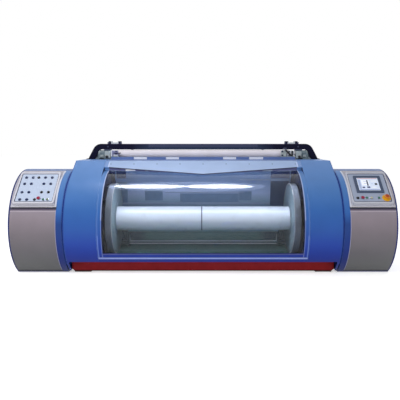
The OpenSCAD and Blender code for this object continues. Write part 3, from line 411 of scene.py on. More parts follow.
# The visor's frame: painted highlights along its edge at the foot, fainter ones up its sides and round
# the opening, a darker line along the opening's foot, and the top rail painted pale to stand in for light
# in the shade under the hood
SKIN = (DRUM, 0.603, 0.61)
VISOR_COAT = blue_coat(
    "visor_blue_coat",
    Zone("b4c4f2", ((HEIGHT, 0.186, 0.1945), (SIDE, 0.0, 1.0925), SKIN), 0.0012),
    Zone("6f8cd0", ((SIDE, 1.082, 1.0925), (HEIGHT, 0.196, 0.44), SKIN), 0.0015, 0.75),
    Zone("7f9ed8", ((SIDE, 1.084, 1.0925), (HEIGHT, 0.44, 0.86), SKIN), 0.0015, 0.3),
    Zone("b4c2e8", ((SIDE, 1.044, 1.0535), (HEIGHT, 0.6, 1.2), SKIN), 0.0015, 0.75),
    Zone("8a9bd2", ((SIDE, 1.044, 1.0525), (HEIGHT, 0.1, 0.6), SKIN), 0.0015, 0.5),
    Zone("5c5f96", ((HEIGHT, 0.23, 0.2415), (SIDE, 0.0, 1.05), (DRUM, 0.6, 0.61)), 0.0012, 0.8),
    Zone("dbe4fc", ((HEIGHT, 1.064, 1.2), (SIDE, 0.0, 1.0465)), 0.002),
    roughness=0.34, peel_mm=6.0, peel=0.04)
# The sill under the visor, a painted highlight along its upper edge
SILL_COAT = blue_coat(
    "sill_blue_coat", Zone("9fb2ea", ((HEIGHT, 0.1775, 0.186), (SIDE, 0.0, 1.094)), 0.0012), mottle=0.04)
# Stove enamel of the hood panel: a flat pale blue that sets the V of its edge off from the frame
PALE_COAT = Finish(
    "pale_blue_enamel", "9ab2da", 0.34, mottle=0.03, edge="c4d2ee", edge_mm=2.0, zones=(
        Zone("6c8fc9", ((SIDE, 1.06, 1.2),), 0.006, 0.9),
        Zone("bfcdf0", ((SIDE, 1.046, 1.056), (HEIGHT, 1.1, 1.172)), 0.003, 0.8)))
# The hood's underside and its seal: a violet grey painted as in shade, and a thin dark seal line that is
# also painted shadow under the hood's edge
HOOD_RETURN = Finish(
    "violet_grey_hood_return", "6a6f9e", 0.5, mottle=0.05, specular=0.15,
    zones=(Zone("6a93cc", ((SIDE, 1.044, 1.2),), 0.002),))
HOOD_SEAL = Finish(
    "navy_hood_seal", "1f2344", 0.6, peel=0.05, specular=0.2,
    zones=(Zone("5984c0", ((SIDE, 1.044, 1.2),), 0.002),))
# Rubber in the gaps: a navy gasket beside the housings, coloured as painted shade of that gap, and seal
# rubber round the window, also used as painted shade in the louvre slots
GAP_GASKET = Finish("navy_gap_gasket", "1e3680", 0.6, peel=0.05, specular=0.1)
SEAL_RUBBER = Finish("navy_seal_rubber", "1f2344", 0.6, peel=0.05, specular=0.2)
RUBBER = Finish("black_belt_rubber", "1d1d1f", 0.75, peel_mm=2.0, peel=0.15)
# Top sheet: a duller and darker blue than the hood's
TOP_COAT = Finish("slate_blue_coat", "6077ac", 0.42, specular=0.25)
# Textured coat of the lower front panels: warm grey, darker towards the floor as painted shading, with
# painted highlights down the inner side and along the top, painted shade in the joint above it and at the
# foot
GREY_COAT = Finish(
    "grey_texture_coat", "7f7a7d", 0.5, peel_mm=3.0, peel=0.08, dust=0.05, specular=0.22, painted_shading=(
        (0.02, "68696b"), (0.12, "6b6c6e"), (0.25, "6d6b70"), (0.45, "7a737a"), (0.6, "8a8089"),
        (0.7, "918892")), zones=(
        Zone("a3a3c4", ((SIDE, 1.511, 1.5185),), 0.001, 0.8),
        Zone("b4a9b6", ((HEIGHT, 0.685, 0.6965),), 0.002, 0.6),
        Zone("4a4356", ((HEIGHT, 0.6985, 0.73),), 0.001, 0.9),
        Zone("30303c", ((HEIGHT, -0.1, 0.0305),), 0.002, 0.9)))
# Grey-beige coat of the upper panels, lit along its inner and lower edges
SURROUND_COAT = Finish(
    "grey_beige_coat", "a5a2ae", 0.45, peel_mm=3.0, peel=0.06, specular=0.25, edge="d3d3dd", edge_mm=2.0,
    zones=(Zone("cfd6e6", ((SIDE, 1.511, 1.529),), 0.003, 0.85),
           Zone("c9c9d2", ((HEIGHT, 0.72, 0.754),), 0.003, 0.5)))
# Trays of the two consoles: pale satin enamel round an anodised plate; the left tray and plate painted
# paler for the key light on that side, the right ones darker as painted shade
TRAY_LEFT = PlateFinish(
    "console_enamel_left", "c9c9d4", 0.4, side=-1, plate="b9c6de", mottle=0.02, edge="e6e6ee")
TRAY_RIGHT = PlateFinish(
    "console_enamel_right", "bbbdc9", 0.4, side=1, plate="9aa5bd", mottle=0.02, edge="dcdce6")
# Structural paints that stay dull and dark inside the machine and under it
DARK_COAT = Finish(
    "dark_slate_paint", "2a3560", 0.6, mottle=0.12, mottle_mm=90.0, peel=0.05, specular=0.2)
BASE_COAT = Finish(
    "black_chassis_paint", "1c1f26", 0.6, mottle=0.1, mottle_mm=90.0, peel=0.1, dust=0.4, specular=0.2)
# Grey paint of the press arms; on its torque tube a painted highlight over the top, painted shade below,
# and a thin painted highlight low on its front
TUBE = (SIDE, 0.0, 0.9), (DEPTH, TUBE_Y - 0.03, TUBE_Y + 0.03)
ARM_COAT = Finish("grey_arm_paint", "5d6d76", 0.5, mottle=0.06, mottle_mm=60.0, zones=(
    Zone("d8dee6", ((HEIGHT, TUBE_Z + 0.014, TUBE_Z + 0.1), *TUBE), 0.003, 0.9),
    Zone("566068", ((HEIGHT, TUBE_Z - 0.1, TUBE_Z + 0.014), *TUBE), 0.003, 0.9),
    Zone("f0f2f6", ((HEIGHT, TUBE_Z - 0.014, TUBE_Z - 0.003), *TUBE), 0.002, 0.9)))
# Liner sheets behind the beam, painted light and shade by height: grey-green below, slate in the middle,
# sky blue under the top, with painted shade in the lower corners by the bulkheads
LINER_COAT = Finish(
    "slate_liner_paint", "8296b4", 0.55, mottle=0.06, specular=0.15, painted_shading=(
        (0.15, "425e5a"), (0.4, "536f74"), (0.56, "677e92"), (0.66, "8aa2b8"), (0.76, "a6b6d8"),
        (0.84, "91a6cd"), (0.95, "6c8bbb"), (1.02, "8aa6d6"), (1.15, "b2c8ee")),
    zones=(Zone("39434e", ((SIDE, 0.8, 1.2), (HEIGHT, 0.0, 0.5)), 0.1, 0.75),))
# Three depths of cover paint and pale bare rails on the liner; their dark and pale patches are painted
# shade and reflections as seen in the bay
LINER_DARK, LINER_BLACK, LINER_SHADE = COVER_PAINTS = tuple(
    Finish(f"{name}_cover_paint", code, 0.5, mottle=0.07, mottle_mm=70.0, specular=0.15)
    for name, code in (("slate", "6e86a4"), ("graphite", "394b6a"), ("indigo", "4c5a84")))
LINER_RAIL = Finish("bare_liner_rail", "8c9cb8", 0.4, mottle=0.05, specular=0.4)
# Dull green paint of the floor sheet, paler at the back
FLOOR_COAT = Finish(
    "green_floor_paint", "49706b", 0.6, mottle=0.14, mottle_mm=60.0, peel=0.1, specular=0.15,
    zones=(Zone("6d8f8b", ((DEPTH, 0.06, 0.6),), 0.08, 0.8),))
# Oxide-red enamel of the kick bar, scuffed by boots, its lower edge darker
RED_COAT = Finish(
    "oxide_red_enamel", "9a1c21", 0.42, mottle=0.09, mottle_mm=70.0, peel=0.05, dust=0.03, specular=0.12,
    edge="9a4a44", edge_mm=2.0, zones=(
        Zone("2e0808", ((HEIGHT, 0.0, 0.0235),), 0.004, 0.85),
        Zone("5a2a44", ((HEIGHT, 0.1255, 0.2),), 0.006, 0.7)))
# White anodised barrel tube, whose satin draws the lamps out into long soft bands
BARREL_COAT = Finish(
    "satin_white_anodising", "cdd3dc", 0.3, mottle=0.03, mottle_mm=120.0, grain=(0.05, 1.0, 1.0),
    peel_mm=3.0, peel=0.02, specular=0.6, coat=0.2)
# Cast aluminium flange: grey-green web with turning marks, a turned rim, and on the rim's edge a pale
# ring that is a polished edge and a painted highlight
FLANGE_METAL = Finish(
    "cast_flange_aluminium", "768892", 0.42, mottle=0.08, mottle_mm=40.0, peel=0.08, zones=(
        Zone("696f7b", ((BEAM, 0.386, 0.41),), 0.003),
        Zone("c8c4c2", ((BEAM, 0.3935, 0.3985), (SIDE, 0.97, 0.9855)), 0.001, 0.8),
        Zone("4a565e", ((BEAM, 0.372, 0.3795),), 0.001, 0.8),
        Zone("6c7a84", ((BEAM, 0.0, 0.205),), 0.004, 0.7)))
# Bare and plated metal: ground spindles, a satin guide roller that stays pale without a glint, the
# press roller's pale rubber cover, nickel needles
GROUND_STEEL = Finish("ground_steel", "8f959c", 0.32, metallic=1.0, grain=(30.0, 1.0, 1.0), peel=0.02)
ROLLER_STEEL = Finish(
    "satin_plated_roller", "e6e1ea", 0.6, grain=(0.05, 1.0, 1.0), peel=0.01, specular=0.08)
PRESS_STEEL = Finish("rubbered_press_roller", "a6bac6", 0.5, grain=(0.05, 1.0, 1.0), peel=0.02)
COMB_STEEL = Finish("nickel_plated_comb", "6c7480", 0.35, metallic=1.0)
ZINC = Finish("zinc_plated_screw", "8a8f98", 0.34, metallic=1.0)
DARK_SCREW = Finish("blacked_screw", "2d3450", 0.4)
# Castings: hammered paint, lumpy enough to break the light up, and machined faces left bare
CAST_COAT = Finish(
    "hammered_casting_paint", "5f6f78", 0.4, mottle=0.18, mottle_mm=22.0, peel_mm=9.0, peel=0.5,
    edge="b5c0c0", edge_mm=4.0)
CAST_LIGHT = Finish(
    "bare_machined_casting", "a6b0b2", 0.35, mottle=0.2, mottle_mm=30.0, peel=0.06, specular=0.4,
    edge="d5dbdb")
LILAC_PLATE = Finish("lilac_anodised_bracket", "8688ac", 0.4, mottle=0.08, mottle_mm=20.0)
PALE_STEEL = Finish("scuffed_pale_steel", "bcc0c6", 0.4, mottle=0.14, mottle_mm=16.0)
# Plum-black crossbar, slate in its middle, whose clamps hold bare pale pads
BAR_COAT = Finish("plum_black_enamel", "0b0c26", 0.38, mottle=0.08, mottle_mm=60.0, specular=0.09, zones=(
    Zone("2c374f", ((SIDE, 0.0, 0.66),), 0.22, 0.9),
    Zone("444a64", ((SIDE, 0.0, 0.66), (HEIGHT, 1.345, 1.373)), 0.012, 0.7),
    Zone("55486a", ((HEIGHT, 1.3725, 1.3785), (SIDE, 0.0, 1.2)), 0.002, 0.6),
    Zone("c4c9ce", ((HEIGHT, 1.3792, 1.45), (SIDE, 1.03, 1.118)), 0.002)))
# Plastics of the controls: deep clean colours with a small soft highlight
BEZEL_PLASTIC = moulded("slate_moulded_bezel", "3d4a64", 0.45, 0.05)
BLACK_PLASTIC = moulded("black_moulded_knob", "15161d", 0.4, 0.03)
NAVY_PLASTIC = moulded("navy_moulded_collar", "1c2848", 0.35, 0.03)
BLUE_CAP = moulded("blue_moulded_cap", "142554")
RED_CAP = moulded("crimson_moulded_cap", "8c1236")
GREEN_CAP = moulded("green_moulded_cap", "156349")
CREAM_CAP = moulded("cream_moulded_cap", "b9b59b", 0.35)
OLIVE_CAP = moulded("olive_moulded_cap", "6f7a58", 0.35)
STOP_RIM = moulded("orange_stop_rim", "cf7a1e")
STOP_RED = moulded("orange_red_stop_cap", "9c3d10")
STOP_YELLOW = moulded("yellow_stop_plate", "dfa81c", 0.4)
WHITE_PLATE = Finish("white_enamel_plate", "e6eaf4", 0.35, mottle=0.02)
# The window: its index is below acrylic's own, for a coated, low-glare look that leaves the bay clear
CLEAR = ClearSheet("clear_acrylic_sheet", "f0f5fa", 0.02, ior=1.25, specular=0.5)


def lit(name: str, code: str, glow: float = 0.3) -> Finish:
    """Part of a lit display: smooth glass that gives off its own colour."""
    return Finish(name, code, 0.25, glow=glow, peel=0.0, mottle=0.01)


# ---- Shapes ---------------------------------------------------------------------------------


@dataclass
class Shape:
    """Vertices and faces of one closed surface, with the finish of its faces."""

    points: Array
    faces: list[tuple[int, ...]]
    finish: Finish | None = None

    def of(self, finish: Finish) -> "Shape":
        """The same shape in a finish."""
        return Shape(self.points, self.faces, finish)


Outline = Sequence[Pair]
# Distance within which points are merged, and the angles past which an edge stays sharp, in degrees
WELD, CREASE, NODE_CREASE = 2e-5, 32.0, 28.0
# Smallest radius and corner that still give faces with an area
TINY_R, TINY_CORNER = 1e-5, 0.0002
# Edge of a thin plate let 0.5 mm into what it lies on: pairs of inset and height
THIN_EDGE = ((0, -0.0005), (0, 0.001), (0.0006, 0.0016))


def grid(rows: Array, ring: bool = False) -> Shape:
    """Turns a grid of points into a closed shape.

    Face (i, j) joins points (i, j), (i, j+1), (i+1, j+1) and (i+1, j).

    Args:
        rows: Points as (v, u, 3): each row is one closed loop, and the rows follow each other.
        ring: Joins the last row to the first, where otherwise each gets a face over it.

    Returns:
        The shape.
    """
    n_v, n_u = rows.shape[:2]
    index = np.arange(n_v * n_u).reshape(n_v, n_u)
    index = np.hstack([index, index[:, :1]])
    if ring:
        index = np.vstack([index, index[:1]])
    quads = np.stack([index[:-1, :-1], index[:-1, 1:], index[1:, 1:], index[1:, :-1]], axis=-1)
    faces = [tuple(q) for q in quads.reshape(-1, 4).tolist()]
    if not ring:
        faces += [tuple(range(n_u))[::-1], tuple(range((n_v - 1) * n_u, n_v * n_u))]
    return Shape(rows.reshape(-1, 3), faces)


def axes(normal: Point, up: Point) -> Array:
    """Right, up and normal of a plane as three unit rows, from its normal and a rough up."""
    n = np.array(normal, float) / np.linalg.norm(normal)
    right = np.cross(up, n)
    right /= np.linalg.norm(right)
    return np.stack([right, np.cross(n, right), n])


def lathe(profile: Outline, centre: Point, axis: Point, steps: int = 48,
          hollow: bool = False) -> Shape:
    """Turns a profile round an axis: point = centre + r (cos t right + sin t up) + h axis.

    Args:
        profile: Pairs of radius and height along the axis, from the first end to the last.
        centre: Where height 0 lies on the axis.
        axis: Direction of the axis.
        steps: Number of steps round.
        hollow: Joins the profile's end to its start, for a ring.

    Returns:
        The turned shape, closed at both ends or on itself.
    """
    up = UP if abs(axis[2]) < 0.9 * np.linalg.norm(axis) else -FRONT
    frame = axes(axis, up)
    turn = np.linspace(0, 2 * np.pi, steps, endpoint=False)
    ring = np.cos(turn)[:, None] * frame[0] + np.sin(turn)[:, None] * frame[1]
    prof = np.array(profile, float)
    prof[:, 0] = np.maximum(prof[:, 0], TINY_R)
    rows = np.array(centre, float) + prof[:, 0, None, None] * ring + prof[:, 1, None, None] * frame[2]
    return grid(rows, hollow)


def hexagon(at: Point, axis: Point, r: float, high: float, washer: float,
            finish: Finish = ZINC) -> list[Shape]:
    """Hexagon head on a washer: a six-step turning of the head whose top edge is bevelled.

    Args:
        at: Middle of the washer's foot.
        axis: Direction in which the head stands.
        r: Corner radius of the head.
        high: Height of the head above the washer.
        washer: Radius of the washer.
        finish: Finish of both.

    Returns:
        The washer and the head.
    """
    thick, bevel = 0.0016, 0.0003
    top = thick + high
    ring = lathe([(washer, -bevel), (washer, thick - bevel), (washer - bevel, thick)], at, axis, 20)
    head = lathe([(r, thick * 0.5), (r, top - 0.001), (r - 0.0012, top)], at, axis, 6)
    return [ring.of(finish), head.of(finish)]


def rounded_loop(w: float, h: float, r: float, steps: int = 6) -> Array:
    """Outline of a rounded rectangle: each corner is a quarter circle of radius r."""
    turn = np.linspace(0, np.pi / 2, steps + 1)
    quarter = np.stack([np.cos(turn), np.sin(turn)], axis=1) * r
    out = []
    for k, (sx, sy) in enumerate([(1, 1), (-1, 1), (-1, -1), (1, -1)]):
        c, s = math.cos(k * math.pi / 2), math.sin(k * math.pi / 2)
        out.append(quarter @ np.array([[c, s], [-s, c]]) + [sx * (w / 2 - r), sy * (h / 2 - r)])
    return np.concatenate(out)


def plate(frame: Array, centre: Point, w: float, h: float, r: float,
          profile: Outline = THIN_EDGE, steps: int = 2) -> Shape:
    """Carries a profile round a rounded rectangle: ring k is the outline drawn in by inset k, at height k.

    Args:
        frame: Right, up and normal as three rows.
        centre: Middle of the plate's foot.
        w: Width along right.
        h: Height along up.
        r: Corner radius.
        profile: Pairs of inset and height along the normal.
        steps: Steps in a corner.

    Returns:
        The closed plate.
    """
    rows = []
    for inset, high in profile:
        loop = rounded_loop(w - 2 * inset, h - 2 * inset, max(r - inset, TINY_CORNER), steps)
        rows.append(np.array(centre, float) + loop @ frame[:2] + high * frame[2])
    return grid(np.array(rows))


def sweep(section: Array, path: Array, side: Array, up: Array) -> Shape:
    """Carries a closed section along a path: point = path + s side + u up.

    Args:
        section: Closed outline as (s, u) pairs.
        path: Points of the path.
        side: Direction of s, for the whole path or for each of its points.
        up: Direction of u, in the same way.

    Returns:
        The swept shape.
    """
    s, u = section[None, :, 0, None], section[None, :, 1, None]
    side, up = (np.broadcast_to(way, path.shape)[:, None, :] for way in (side, up))
    return grid(path[:, None, :] + s * side + u * up)


def strip_section(w: float, t: float, b: float) -> Array:
    """Outline of a flat strip w wide and t thick whose two outer edges are bevelled by b."""
    half = w / 2
    return np.array([
        [-half, 0], [half, 0], [half, t - b], [half - b, t], [-half + b, t], [-half, t - b]])


def on_drum(x: float | Array, angle: float | Array, r: float = DRUM_R) -> Array:
    """Points on a drum of radius r at angles in degrees counted up from the front."""
    a = np.radians(np.asarray(angle, float))
    x, a, r = np.broadcast_arrays(np.asarray(x, float), a, np.asarray(r, float))
    return np.stack([x, -r * np.cos(a), DRUM_Z + r * np.sin(a)], axis=-1)


def outwards(angle: float | Array) -> Array:
    """Direction away from the drum's axis at one or more angles."""
    return on_drum(0.0, angle, 1.0) - AXIS


def drum_hoop(x: float, a0: float, a1: float, section: Array, r: float = DRUM_R,
              steps: int = 90) -> Shape:
    """Carries a section round the drum from angle a0 to a1; its s runs along X, its u outwards."""
    turn = np.linspace(a0, a1, steps)
    return sweep(section, on_drum(x, turn, r), RIGHT, outwards(turn))


def drum_rail(a: float, x0: float, x1: float, section: Array, r: float = DRUM_R) -> Shape:
    """Carries a section along X on the drum at one angle; its s runs up the curve, its u outwards."""
    t = math.radians(a)
    up, out = np.array([0.0, math.sin(t), math.cos(t)]), np.array([0.0, -math.cos(t), math.sin(t)])
    return sweep(section, np.array([on_drum(x0, a, r), on_drum(x1, a, r)]), up, out)


def faces(rows: Iterable[tuple], side: int = 1) -> list[Shape]:
    """Upright plates facing the operator: rounded rectangles with a bevelled front edge.

    Args:
        rows: Each plate's two sides, foot, top, depth of its back, thickness, corner radius and finish.
        side: -1 for the mirror image.

    Returns:
        The plates.
    """
    shapes = []
    for x0, x1, z0, z1, y, thick, r, finish in rows:
        left, right = sorted((side * x0, side * x1))
        bevel = min(0.002, thick / 3)
        edge = [(0, 0), (0, thick - bevel), (bevel, thick)]
        middle = ((left + right) / 2, y, (z0 + z1) / 2)
        shapes.append(plate(axes(FRONT, UP), middle, right - left, z1 - z0, r, edge, 4).of(finish))
    return shapes


def put_in_scene(name: str, data: bpy.types.ID) -> bpy.types.Object:
    """Makes an object of a mesh, a lamp or a camera and links it to the scene."""
    made = bpy.data.objects.new(name, data)
    bpy.context.scene.collection.objects.link(made)
    return made


def build(name: str, body: str, shapes: Iterable[Shape],
          replaces: Sequence[str] = (), crease: float = CREASE) -> bpy.types.Object:
    """Joins shapes into one mesh that rides on a body.

    Args:
        name: Name of the piece.
        body: Body that it rides on.
        shapes: Shapes with their finishes.
        replaces: Nodes that it stands for.
        crease: Angle in degrees past which an edge stays sharp.

    Returns:
        The finished object.
    """
    points, faces, marks, finishes, base = [], [], [], [], 0
    for shape in shapes:
        if shape.finish not in finishes:
            finishes.append(shape.finish)
        points.append(shape.points)
        faces += [tuple(i + base for i in f) for f in shape.faces]
        marks += [finishes.index(shape.finish)] * len(shape.faces)
        base += len(shape.points)
    mesh = bpy.data.meshes.new(name)
    mesh.from_pydata(np.concatenate(points), [], faces)
    for finish in finishes:
        mesh.materials.append(finish.material())
    mesh.polygons.foreach_set("material_index", np.array(marks, np.int32))
    settle(mesh, crease)
    piece = put_in_scene(name, mesh)
    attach(piece, body)
    if replaces:
        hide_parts(*replaces)
    LOG.info("%s on %s: %d faces", name, body, len(faces))
    return piece


def settle(mesh: bpy.types.Mesh, crease: float) -> None:
    """Merges doubles, turns faces outwards, and shades smooth up to the crease angle."""
    work = bmesh.new()
    work.from_mesh(mesh)
    bmesh.ops.remove_doubles(work, verts=work.verts, dist=WELD)
    bmesh.ops.recalc_face_normals(work, faces=work.faces)
    limit = math.radians(crease)
    for edge in work.edges:
        edge.smooth = len(edge.link_faces) == 2 and edge.calc_face_angle(9.0) < limit
    for face in work.faces:
        face.smooth = True
    work.to_mesh(mesh)
    work.free()
    mesh.update()


def smoothing() -> Tree:
    """Node group that joins a solid's loose triangles and shades it smooth up to a crease angle."""
    found = bpy.data.node_groups.get("solid_shading")
    if found is not None:
        return found
    tree = bpy.data.node_groups.new("solid_shading", "GeometryNodeTree")
    for way in ("INPUT", "OUTPUT"):
        tree.interface.new_socket("Geometry", in_out=way, socket_type="NodeSocketGeometry")
    start = add_node(tree, "NodeGroupInput").outputs[0]
    joined = add_node(tree, "GeometryNodeMergeByDistance", {"Geometry": start, "Distance": 1e-5})
    bend = add_node(tree, "GeometryNodeInputMeshEdgeAngle").outputs["Unsigned Angle"]
    limit = math.radians(NODE_CREASE)
    sharp = add_node(tree, "ShaderNodeMath", {0: bend, 1: limit}, operation="GREATER_THAN")
    smooth = add_node(tree, "GeometryNodeSetShadeSmooth", {0: joined.outputs[0], "Shade Smooth": True})
    edges = add_node(tree, "GeometryNodeSetShadeSmooth", {
        0: smooth.outputs[0], "Selection": sharp.outputs[0], "Shade Smooth": False}, domain="EDGE")
    add_node(tree, "NodeGroupOutput", {0: edges.outputs[0]})
    return tree


@dataclass
class Wardrobe:
    """Puts finishes on the frame's own nodes."""

    nodes: dict[str, bpy.types.Object]

    def dress(self, finish: Finish, *names: str) -> None:
        """Gives each named node a finish and smooth shading."""
        for name in names:
            node = self.nodes[name]
            node.data.materials.clear()
            node.data.materials.append(finish.material())
            node.modifiers.new("shading", "NODES").node_group = smoothing()
            LOG.info("%s in %s", name, finish.name)


@dataclass
class PlateFrame:
    """Plane of a console's plate: x to the right, y up the plate, z outwards, all in millimetres."""

    side: int
    centre_x: float = 1.749
    lean: float = 46.0
    distance: float = 600.0

    def rows(self) -> Array:
        """Right, up and outward directions of the plate."""
        c, s = math.cos(math.radians(self.lean)), math.sin(math.radians(self.lean))
        return np.array([[1.0, 0.0, 0.0], [0.0, s, c], [0.0, -c, s]])

    def at(self, x: float, y: float, z: float) -> Array:
        """World point of a point on the plate."""
        r = self.rows()
        return np.array([self.side * self.centre_x, 0.0, DRUM_Z]) + \
            MM * (x * r[0] + y * r[1] + (self.distance + z) * r[2])


# ---- Sub-assemblies -------------------------------------------------------------------------


@dataclass
class Casing:
    """Housings, cabinets, base, hood and back: the painted sheet work."""

    wardrobe: Wardrobe
    hood_half: float = 1.097  # Half width of the hood's lower edge
    hood_drop: float = 0.124  # How far that edge lies down the flat at its ends
    hood_point: float = 0.26  # How far it lies down the flat in the middle
    slope: float = 58.0  # Angle on the drum where the front flat touches it
    back_slope: float = 172.7  # The same for the back flat
    screw_pitch: float = 0.258  # Distance between the hood's screws
    screw_drop: float = 0.069  # How far the screws lie down the flat
    lip_at: Pair = (0.31, TOP_Z + 0.016)  # Depth and height of the slot rail's front
    # Left and right ends of the plates on that rail
    lip_plates: tuple[Pair, ...] = (
        (-0.829, -0.673), (-0.445, -0.289), (0.239, 0.395), (0.551, 0.719))
    # Left and right ends and finish of the pale plates under the hood, which are painted highlights
    return_plates: tuple[tuple[float, float, Finish], ...] = (
        (-0.857, -0.668, WHITE_PLATE), (0.577, 0.765, LINER_RAIL), (-0.64, -0.585, LINER_RAIL))
    # Place and first and last angle of the strip in the outer gap
    outer_trim: Triple = (1.443, -40.0, 172.0)
    inner_trim: Triple = (1.09915, -29.6, 80.0)  # The same of the strip beside the visor
    cover_x: float = 0.53  # Middle of a rear cover from the middle plane
    cover_z: float = 0.865  # Height of its middle
    cover_size: Pair = (0.94, 0.46)  # Its width and height
    # Places of its fasteners on it, from its middle
    cover_screws: tuple[Pair, ...] = (
        (-0.44, -0.205), (-0.44, 0.205), (0.0, -0.205), (0.0, 0.205), (0.44, -0.205), (0.44, 0.205))
    louvre_columns: Pair = (-0.21, 0.21)  # Middles of its two columns of louvres
    louvre_pitch: float = 0.046  # Distance between louvres
    louvre: Triple = (0.15, 0.022, 0.009)  # Half length, height and depth of a louvre
    door_x: float = 1.728  # Middle of a cabinet door from the middle plane
    door_half: float = 0.2  # Its half width
    door_span: Pair = (112.0, 158.0)  # Angles on the drum where it starts and ends

    def build(self) -> None:
        """Dresses the sheet work and adds its trim."""
        self.dress()
        self.hood_trim()
        self.hood_return()
        self.edge_trims()
        self.hood_screws()
        self.lip()
        self.rear_covers()
        self.cabinet_doors()

    def dress(self) -> None:
        """Finishes of the sheet-work nodes."""
        put = self.wardrobe.dress
        put(BLUE_COAT, "housing_left", "housing_right", "rear_panel")
        put(SILL_COAT, "front_sill")
        put(CABINET_COAT, "cabinet_left", "cabinet_right")
        put(PALE_COAT, "hood_panel")
        put(TOP_COAT, "hood_top")
        put(GREY_COAT, "lower_panel_left", "lower_panel_right")
        put(SURROUND_COAT, "upper_panel_left", "upper_panel_right")
        put(DARK_COAT, "bulkhead_left", "bulkhead_right")
        put(BASE_COAT, "base_frame")
        put(RED_COAT, "kick_bar")
        put(RUBBER, "drive_belt")
        put(CAST_COAT, "drive_motor")

    def flat(self, angle: float) -> tuple[Array, Array]:
        """The flat that touches the drum at an angle.

        Args:
            angle: Angle on the drum in degrees.

        Returns:
            The flat's right, up and normal, and where it meets the top sheet.
        """
        c, s = math.cos(math.radians(angle)), math.sin(math.radians(angle))
        corner = np.array([0.0, -(DRUM_R - (TOP_Z - DRUM_Z) * s) / c, TOP_Z])
        return axes((0.0, -c, s), UP), corner

    def hood_trim(self) -> None:
        """Seal under the pointed edge of the hood panel, a bar carried along the edge's two straights; its
        dark line is also painted shadow under the edge.
        """
        rows, corner = self.flat(self.slope)
        edge = np.array([
            [-self.hood_half, -self.hood_drop], [0.0, -self.hood_point], [self.hood_half, -self.hood_drop]])
        path = corner + edge @ rows[:2] - 0.003 * rows[2]
        section = np.array([
            [-0.009, -0.002], [0.002, -0.002], [0.002, 0.0032], [-0.006, 0.0032], [-0.009, 0.001]])
        build("hood_edge_seal", "frame", [sweep(section, path, rows[1], rows[2]).of(HOOD_SEAL)])

    def hood_return(self) -> None:
        """Return flange under the hood panel's edge: from the edge straight in towards the drum's axis.

        At each X the flange runs from the edge point e to a + R (e - a) / |e - a|, where a is the drum's
        axis and R lies 2 mm outside the visor. Three small pale plates lie on it as painted highlights.
        """
        (_, up, normal), corner = self.flat(self.slope)
        end, sheet = self.hood_half - 0.0005, 0.002
        x = np.concatenate([np.linspace(-end, 0.0, 24), np.linspace(0.0, end, 24)[1:]])
        rise = (self.hood_point - self.hood_drop) * np.abs(x) / self.hood_half
        drop = self.hood_point - rise - 0.004
        edge = corner - drop[:, None] * up - 0.0045 * normal
        out = (edge - AXIS) / np.linalg.norm(edge - AXIS, axis=1)[:, None]
        foot = AXIS + (DRUM_R + 0.002) * out
        back = np.cross(out, RIGHT) * -sheet
        back *= np.sign(back[:, 1:2])
        loop = np.stack([edge, foot, foot + back, edge + back], axis=1) + x[:, None, None] * RIGHT
        shapes = [grid(loop).of(HOOD_RETURN)]
        for x0, x1, finish in self.return_plates:
            k = int(np.argmin(np.abs(x - (x0 + x1) / 2)))
            middle = (edge[k] + foot[k]) / 2 + (x0 + x1) / 2 * RIGHT
            tall = min(0.016, 0.7 * float(np.linalg.norm(edge[k] - foot[k])))
            shapes.append(plate(axes(-back[k], out[k]), middle, x1 - x0, tall, 0.002).of(finish))
        build("hood_return", "frame", shapes)

    def edge_trims(self) -> None:
        """Strips on each housing's edges: a dark one in the outer gap as painted shade of that gap, a thin
        blue one beside the visor.
        """
        (outer_x, *outer), (inner_x, *inner) = self.outer_trim, self.inner_trim
        strip, strip_r, t = strip_section(0.013, 0.002, 0.0005), DRUM_R - 0.0062, 0.00085
        lip = np.array([[-t, -0.008], [t, -0.008], [t, -0.0003], [-t, -0.0003]])
        shapes = [drum_hoop(s * outer_x, *outer, strip, strip_r, 120).of(GAP_GASKET) for s in (-1, 1)]
        shapes += [drum_hoop(s * inner_x, *inner, lip).of(BLUE_COAT) for s in (-1, 1)]
        build("housing_edge_trims", "frame", shapes)

    def hood_screws(self) -> None:
        """Nine dome-headed screws: r = 6 mm sqrt(1 - (h / 2.6 mm)^2)."""
        rows, corner = self.flat(self.slope)
        r, high = 0.006, 0.0026
        dome = [(0.0, -0.0005), (r, -0.0005)]
        dome += [(r * math.sqrt(1 - (h / high) ** 2), h) for h in np.linspace(0.0, high, 6)]
        first = corner - self.screw_drop * rows[1]
        places = [first + k * self.screw_pitch * rows[0] for k in range(-4, 5)]
        build("hood_screws", "frame", [lathe(dome, at, rows[2], 16).of(DARK_SCREW) for at in places])

    def lip(self) -> None:
        """Four bare white plates on the slot's rail, each held by two screws."""
        rows = axes(FRONT, UP)
        screw = [(0.0028, 0.0015), (0.0028, 0.0022), (0.0015, 0.003), (0, 0.0031)]
        shapes = []
        for x0, x1 in self.lip_plates:
            middle = ((x0 + x1) / 2, *self.lip_at)
            shapes.append(plate(rows, middle, x1 - x0, 0.027, 0.002).of(WHITE_PLATE))
            for x in (x0 + 0.01, x1 - 0.01):
                shapes.append(lathe(screw, (x, *self.lip_at), rows[2], 12).of(ZINC))
        build("slot_rail_plates", "frame", shapes)

